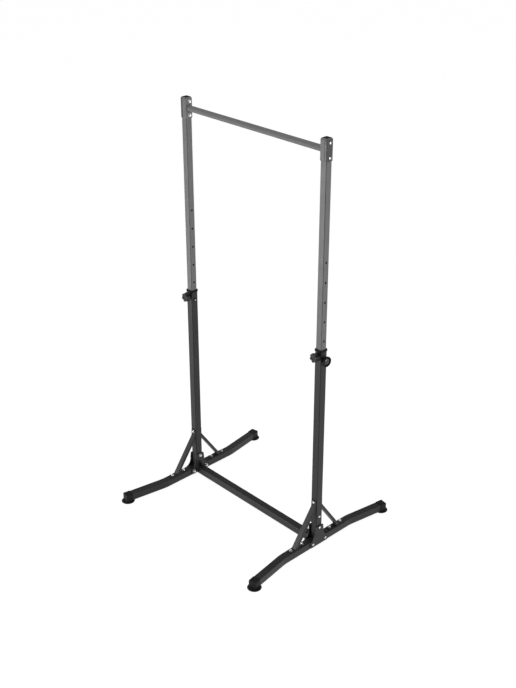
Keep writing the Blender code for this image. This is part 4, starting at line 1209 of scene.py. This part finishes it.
# %% [markdown]
# ## Tightening knobs
#
# The knob is a star with six lobes, so that a hand can turn it hard. It could be a cylinder with six
# round bites cut out of it, but the corners between the bites would be harder to round evenly. So it is
# one skin, drawn ring by ring from the hub to the face. The outline of a ring is a radius for each
# direction: a circle that round hollows bite into, with the corners between them eased. The knob came
# to rest with one lobe pointing outwards and a little up.

# %% Write down the outline of the star
STAR_RADIUS = 0.0235
STAR_POINTS = 192
LOBES, FLUTE_DEPTH, FLUTE_RADIUS = 6, 0.0045, 0.0098
STAR_TURN = math.radians(22)
EASE = 0.0004
flute_at = STAR_RADIUS - FLUTE_DEPTH + FLUTE_RADIUS


def star_edge(turn):
    """The distance from the axis to the edge of the star in a direction."""
    step = 2 * math.pi / LOBES
    aside = (turn - STAR_TURN) % step - step / 2
    root = FLUTE_RADIUS ** 2 - (flute_at * math.sin(aside)) ** 2
    if root <= 0:
        return STAR_RADIUS
    flute = flute_at * math.cos(aside) - math.sqrt(root)
    return -EASE * math.log(math.exp(-STAR_RADIUS / EASE) + math.exp(-flute / EASE))


def drawn_in(distance):
    return lambda turn: star_edge(turn) - distance


def circle(radius):
    return lambda turn: radius


def next_ring(piece, z, radius_at):
    """Extrudes the open end of a round piece to a height, and gives it a new outline."""
    bpy.ops.mesh.extrude_region_move()
    mesh = bmesh.from_edit_mesh(piece.data)
    for point in [v for v in mesh.verts if v.select]:
        turn = math.atan2(point.co.y, point.co.x)
        point.co = (radius_at(turn) * math.cos(turn), radius_at(turn) * math.sin(turn), z)
    bmesh.update_edit_mesh(piece.data)


print("star edge at a hollow", round(star_edge(STAR_TURN + math.pi / LOBES), 4))

# %% [markdown]
# The rings at the two ends of the grip draw in along a quarter circle, which makes its edges friendly to
# hold. The last rings go down into the face's recess and up again to a small boss.

# %% Draw the star ring by ring
STAR_BACK, STAR_FACE = 0.032, 0.054
HUB_RADIUS, HUB_ROUND = 0.010, 0.0006
HUB_END = 0.0273
GRIP_EDGE = 0.0024
RECESS, BOSS_RADIUS, BOSS_RISE = 0.0022, 0.0060, 0.0014
STAR_BEVEL = 0.0005

quarter = [math.radians(15 * i) for i in range(7)]
from_end = [GRIP_EDGE * (1 - math.cos(a)) for a in quarter]
from_side = [GRIP_EDGE * (1 - math.sin(a)) for a in quarter]
rings = [(HUB_END + HUB_ROUND, circle(HUB_RADIUS)), (STAR_BACK, circle(HUB_RADIUS))]
rings += [(STAR_BACK + rise, drawn_in(inset)) for rise, inset in zip(from_end, from_side)]
rings += [(STAR_FACE - fall, drawn_in(inset)) for fall, inset in zip(from_side, from_end)]
rings += [(STAR_FACE, circle(HUB_RADIUS)), (STAR_FACE - RECESS, circle(HUB_RADIUS))]
rings += [(STAR_FACE - RECESS + rise, circle(BOSS_RADIUS)) for rise in (0, BOSS_RISE)]

put_down()
bpy.ops.mesh.primitive_circle_add(
    vertices=STAR_POINTS, radius=HUB_RADIUS - HUB_ROUND, fill_type="NGON", location=(0, 0, HUB_END)
)
freeze()
star = bpy.context.object
star.name = "star"
choose(star, "FACE", lambda f: True)
for z, radius_at in rings:
    next_ring(star, z, radius_at)
face_outwards(star)
soften(star, STAR_BEVEL, 3, angle=50)
print("star:", len(rings), "rings,", len(star.data.polygons), "faces")

# %% [markdown]
# The knob's threaded stem goes through a nut that is welded to the post.

# %% Model the stem and its nut, and place the knobs
STEM_RADIUS, STEM_ROUND = 0.005, 0.0008
STEM_TIP, STEM_IN_HUB = 0.018, 0.0002
NUT_RADIUS, NUT_EDGE = 0.009, 0.0005
NUT_BACK, NUT_FACE = 0.0203, 0.0263
NUT_CLEARANCE = 0.0001

stem = rod("stem", STEM_RADIUS, (0, 0, STEM_TIP), (0, 0, HUB_END + STEM_IN_HUB))
round_edges(stem, at_level(STEM_TIP), STEM_ROUND, 2)
nut = rod("nut", NUT_RADIUS, (0, 0, NUT_BACK), (0, 0, NUT_FACE))
drill(nut, STEM_RADIUS + NUT_CLEARANCE, ((0, 0, 0), (0, 0, 0.05)))
soften(nut, NUT_EDGE, 3)
nut_rim = ring_of_points((0, 0, NUT_BACK), (NUT_RADIUS, 0, 0), (0, NUT_RADIUS, 0))
nut = join(nut, bead(nut_rim, True, NUT_BEAD))
for side, x in SIDES.items():
    place = (x * POST_X, 0, KNOB_HEIGHT)
    body = f"tightening_knob_{side}"
    hand_over(placed(star, f"star_knob_{side}", place, (0, -1, 0)), GLOSSY, body, body)
    hand_over(placed(stem, f"knob_stem_{side}", place, (0, -1, 0)), ZINC, body, body)
    hand_over(placed(nut, f"weld_nut_{side}", place, (0, -1, 0)), BLACK_COAT, "base", f"knob_nut_{side}")
for master in (star, stem, nut):
    bpy.data.objects.remove(master)

# %% [markdown]
# ## Floor
#
# The object stands on a plain white floor that runs back out of sight. What the camera and the shine see
# of it is four fifths a white of its own, so that it stays white however the lamps stand, and one fifth
# the lit surface, which keeps the object's faint shadow. To all other light it is a plain matt floor.

# %% Lay the floor
FLOOR_WIDTH = 80
FLOOR_SHADE, FLOOR_ROUGHNESS = 0.86, 0.9
FLOOR_GLOW = 0.80
FLOOR_WHITE = 1.15


def calculate(tree, kind, first, second):
    """The result of a sum on two numbers, each a plain value or a socket."""
    made = tree.nodes.new("ShaderNodeMath")
    made.operation = kind
    for socket, value in zip(made.inputs, (first, second)):
        if isinstance(value, bpy.types.NodeSocket):
            tree.links.new(value, socket)
        else:
            socket.default_value = value
    return made.outputs[0]


def is_seen(tree):
    """One for a ray from the camera, off a shine or through glass, and zero for the light that is shed."""
    rays = tree.nodes.new("ShaderNodeLightPath").outputs
    by_surface = calculate(tree, "MAXIMUM", rays["Is Glossy Ray"], rays["Is Transmission Ray"])
    return calculate(tree, "MAXIMUM", rays["Is Camera Ray"], by_surface)


put_down()
bpy.ops.mesh.primitive_plane_add(size=FLOOR_WIDTH, location=(0, 0, 0))
floor = bpy.context.object
floor.name = "studio_floor"
white = bpy.data.materials.new("white_floor")
white.use_nodes = True
tree = white.node_tree
matt = tree.nodes["Principled BSDF"]
matt.inputs["Base Color"].default_value = (FLOOR_SHADE, FLOOR_SHADE, FLOOR_SHADE, 1)
matt.inputs["Roughness"].default_value = FLOOR_ROUGHNESS
matt.inputs["Specular IOR Level"].default_value = 0.0
glow = wire(tree, "ShaderNodeEmission", Color=(1, 1, 1, 1), Strength=FLOOR_WHITE)
blend = tree.nodes.new("ShaderNodeMixShader")
tree.links.new(calculate(tree, "MULTIPLY", is_seen(tree), FLOOR_GLOW), blend.inputs["Fac"])
tree.links.new(matt.outputs["BSDF"], blend.inputs[1])
tree.links.new(glow.outputs["Emission"], blend.inputs[2])
tree.links.new(blend.outputs["Shader"], tree.nodes["Material Output"].inputs["Surface"])
floor.data.materials.append(white)
print("floor", FLOOR_WIDTH, "m wide, glow", FLOOR_GLOW)

# %% [markdown]
# ## Room
#
# The camera sees a plain white room. The shine of a piece sees it white all round and dark overhead, as
# under a studio's ceiling, so that black tops stay black. The light that the room sheds is one dim even
# level, whatever is seen of it.

# %% Light the world
AMBIENT = 0.42
CEILING = 0.30
HORIZON, OVERHEAD = 0.15, 0.40

world = bpy.data.worlds.new("studio")
bpy.context.scene.world = world
world.use_nodes = True
tree = world.node_tree
sky = tree.nodes["Background"]
sky.inputs["Color"].default_value = (1, 1, 1, 1)
rise = tree.nodes.new("ShaderNodeSeparateXYZ")
tree.links.new(tree.nodes.new("ShaderNodeTexCoord").outputs["Generated"], rise.inputs["Vector"])
heights = dict(From_Min=HORIZON, From_Max=OVERHEAD, To_Min=1.0, To_Max=CEILING)
room = wire(tree, "ShaderNodeMapRange", Value=rise.outputs["Z"], **heights).outputs["Result"]
to_camera = tree.nodes.new("ShaderNodeLightPath").outputs["Is Camera Ray"]
shown = calculate(tree, "MAXIMUM", room, to_camera)
level = wire(tree, "ShaderNodeMapRange", Value=is_seen(tree), To_Min=AMBIENT, To_Max=shown)
tree.links.new(level.outputs["Result"], sky.inputs["Strength"])
print("ambient", AMBIENT, "ceiling", CEILING)

# %% [markdown]
# ## Lamps
#
# Large soft boxes give soft edges to the shadows. The key stands low at the front left, and lights the
# front of the posts and the underside of the bar. A larger one stands far off to the right, so that it
# lights that side of each post evenly from its foot to its top. Little comes from above.

# %% Hang the lamps
LAMPS = {
    "key": ((-1.9, -3.0, 0.55), (0.0, 0.0, 0.9), 1.3, 76),
    "side": ((8.3, 2.4, 2.1), (0.0, 0.0, 1.1), 2.4, 280),
    "top": ((0.0, -0.5, 5.0), (0.0, 0.0, 0.5), 3.0, 45),
}
for name, (place, target, width, power) in LAMPS.items():
    put_down()
    turn = (Vector(place) - Vector(target)).to_track_quat("Z", "Y").to_euler()
    bpy.ops.object.light_add(type="AREA", location=place, rotation=turn)
    lamp = bpy.context.object
    lamp.name = f"{name}_lamp"
    lamp.data.shape = "DISK"
    lamp.data.size = width
    lamp.data.energy = power
    print(name, "lamp", width, "m wide,", power, "W")

# %% [markdown]
# ## Last step
#
# Edit mode is left and every piece is let go.

# %% Finish
put_down()
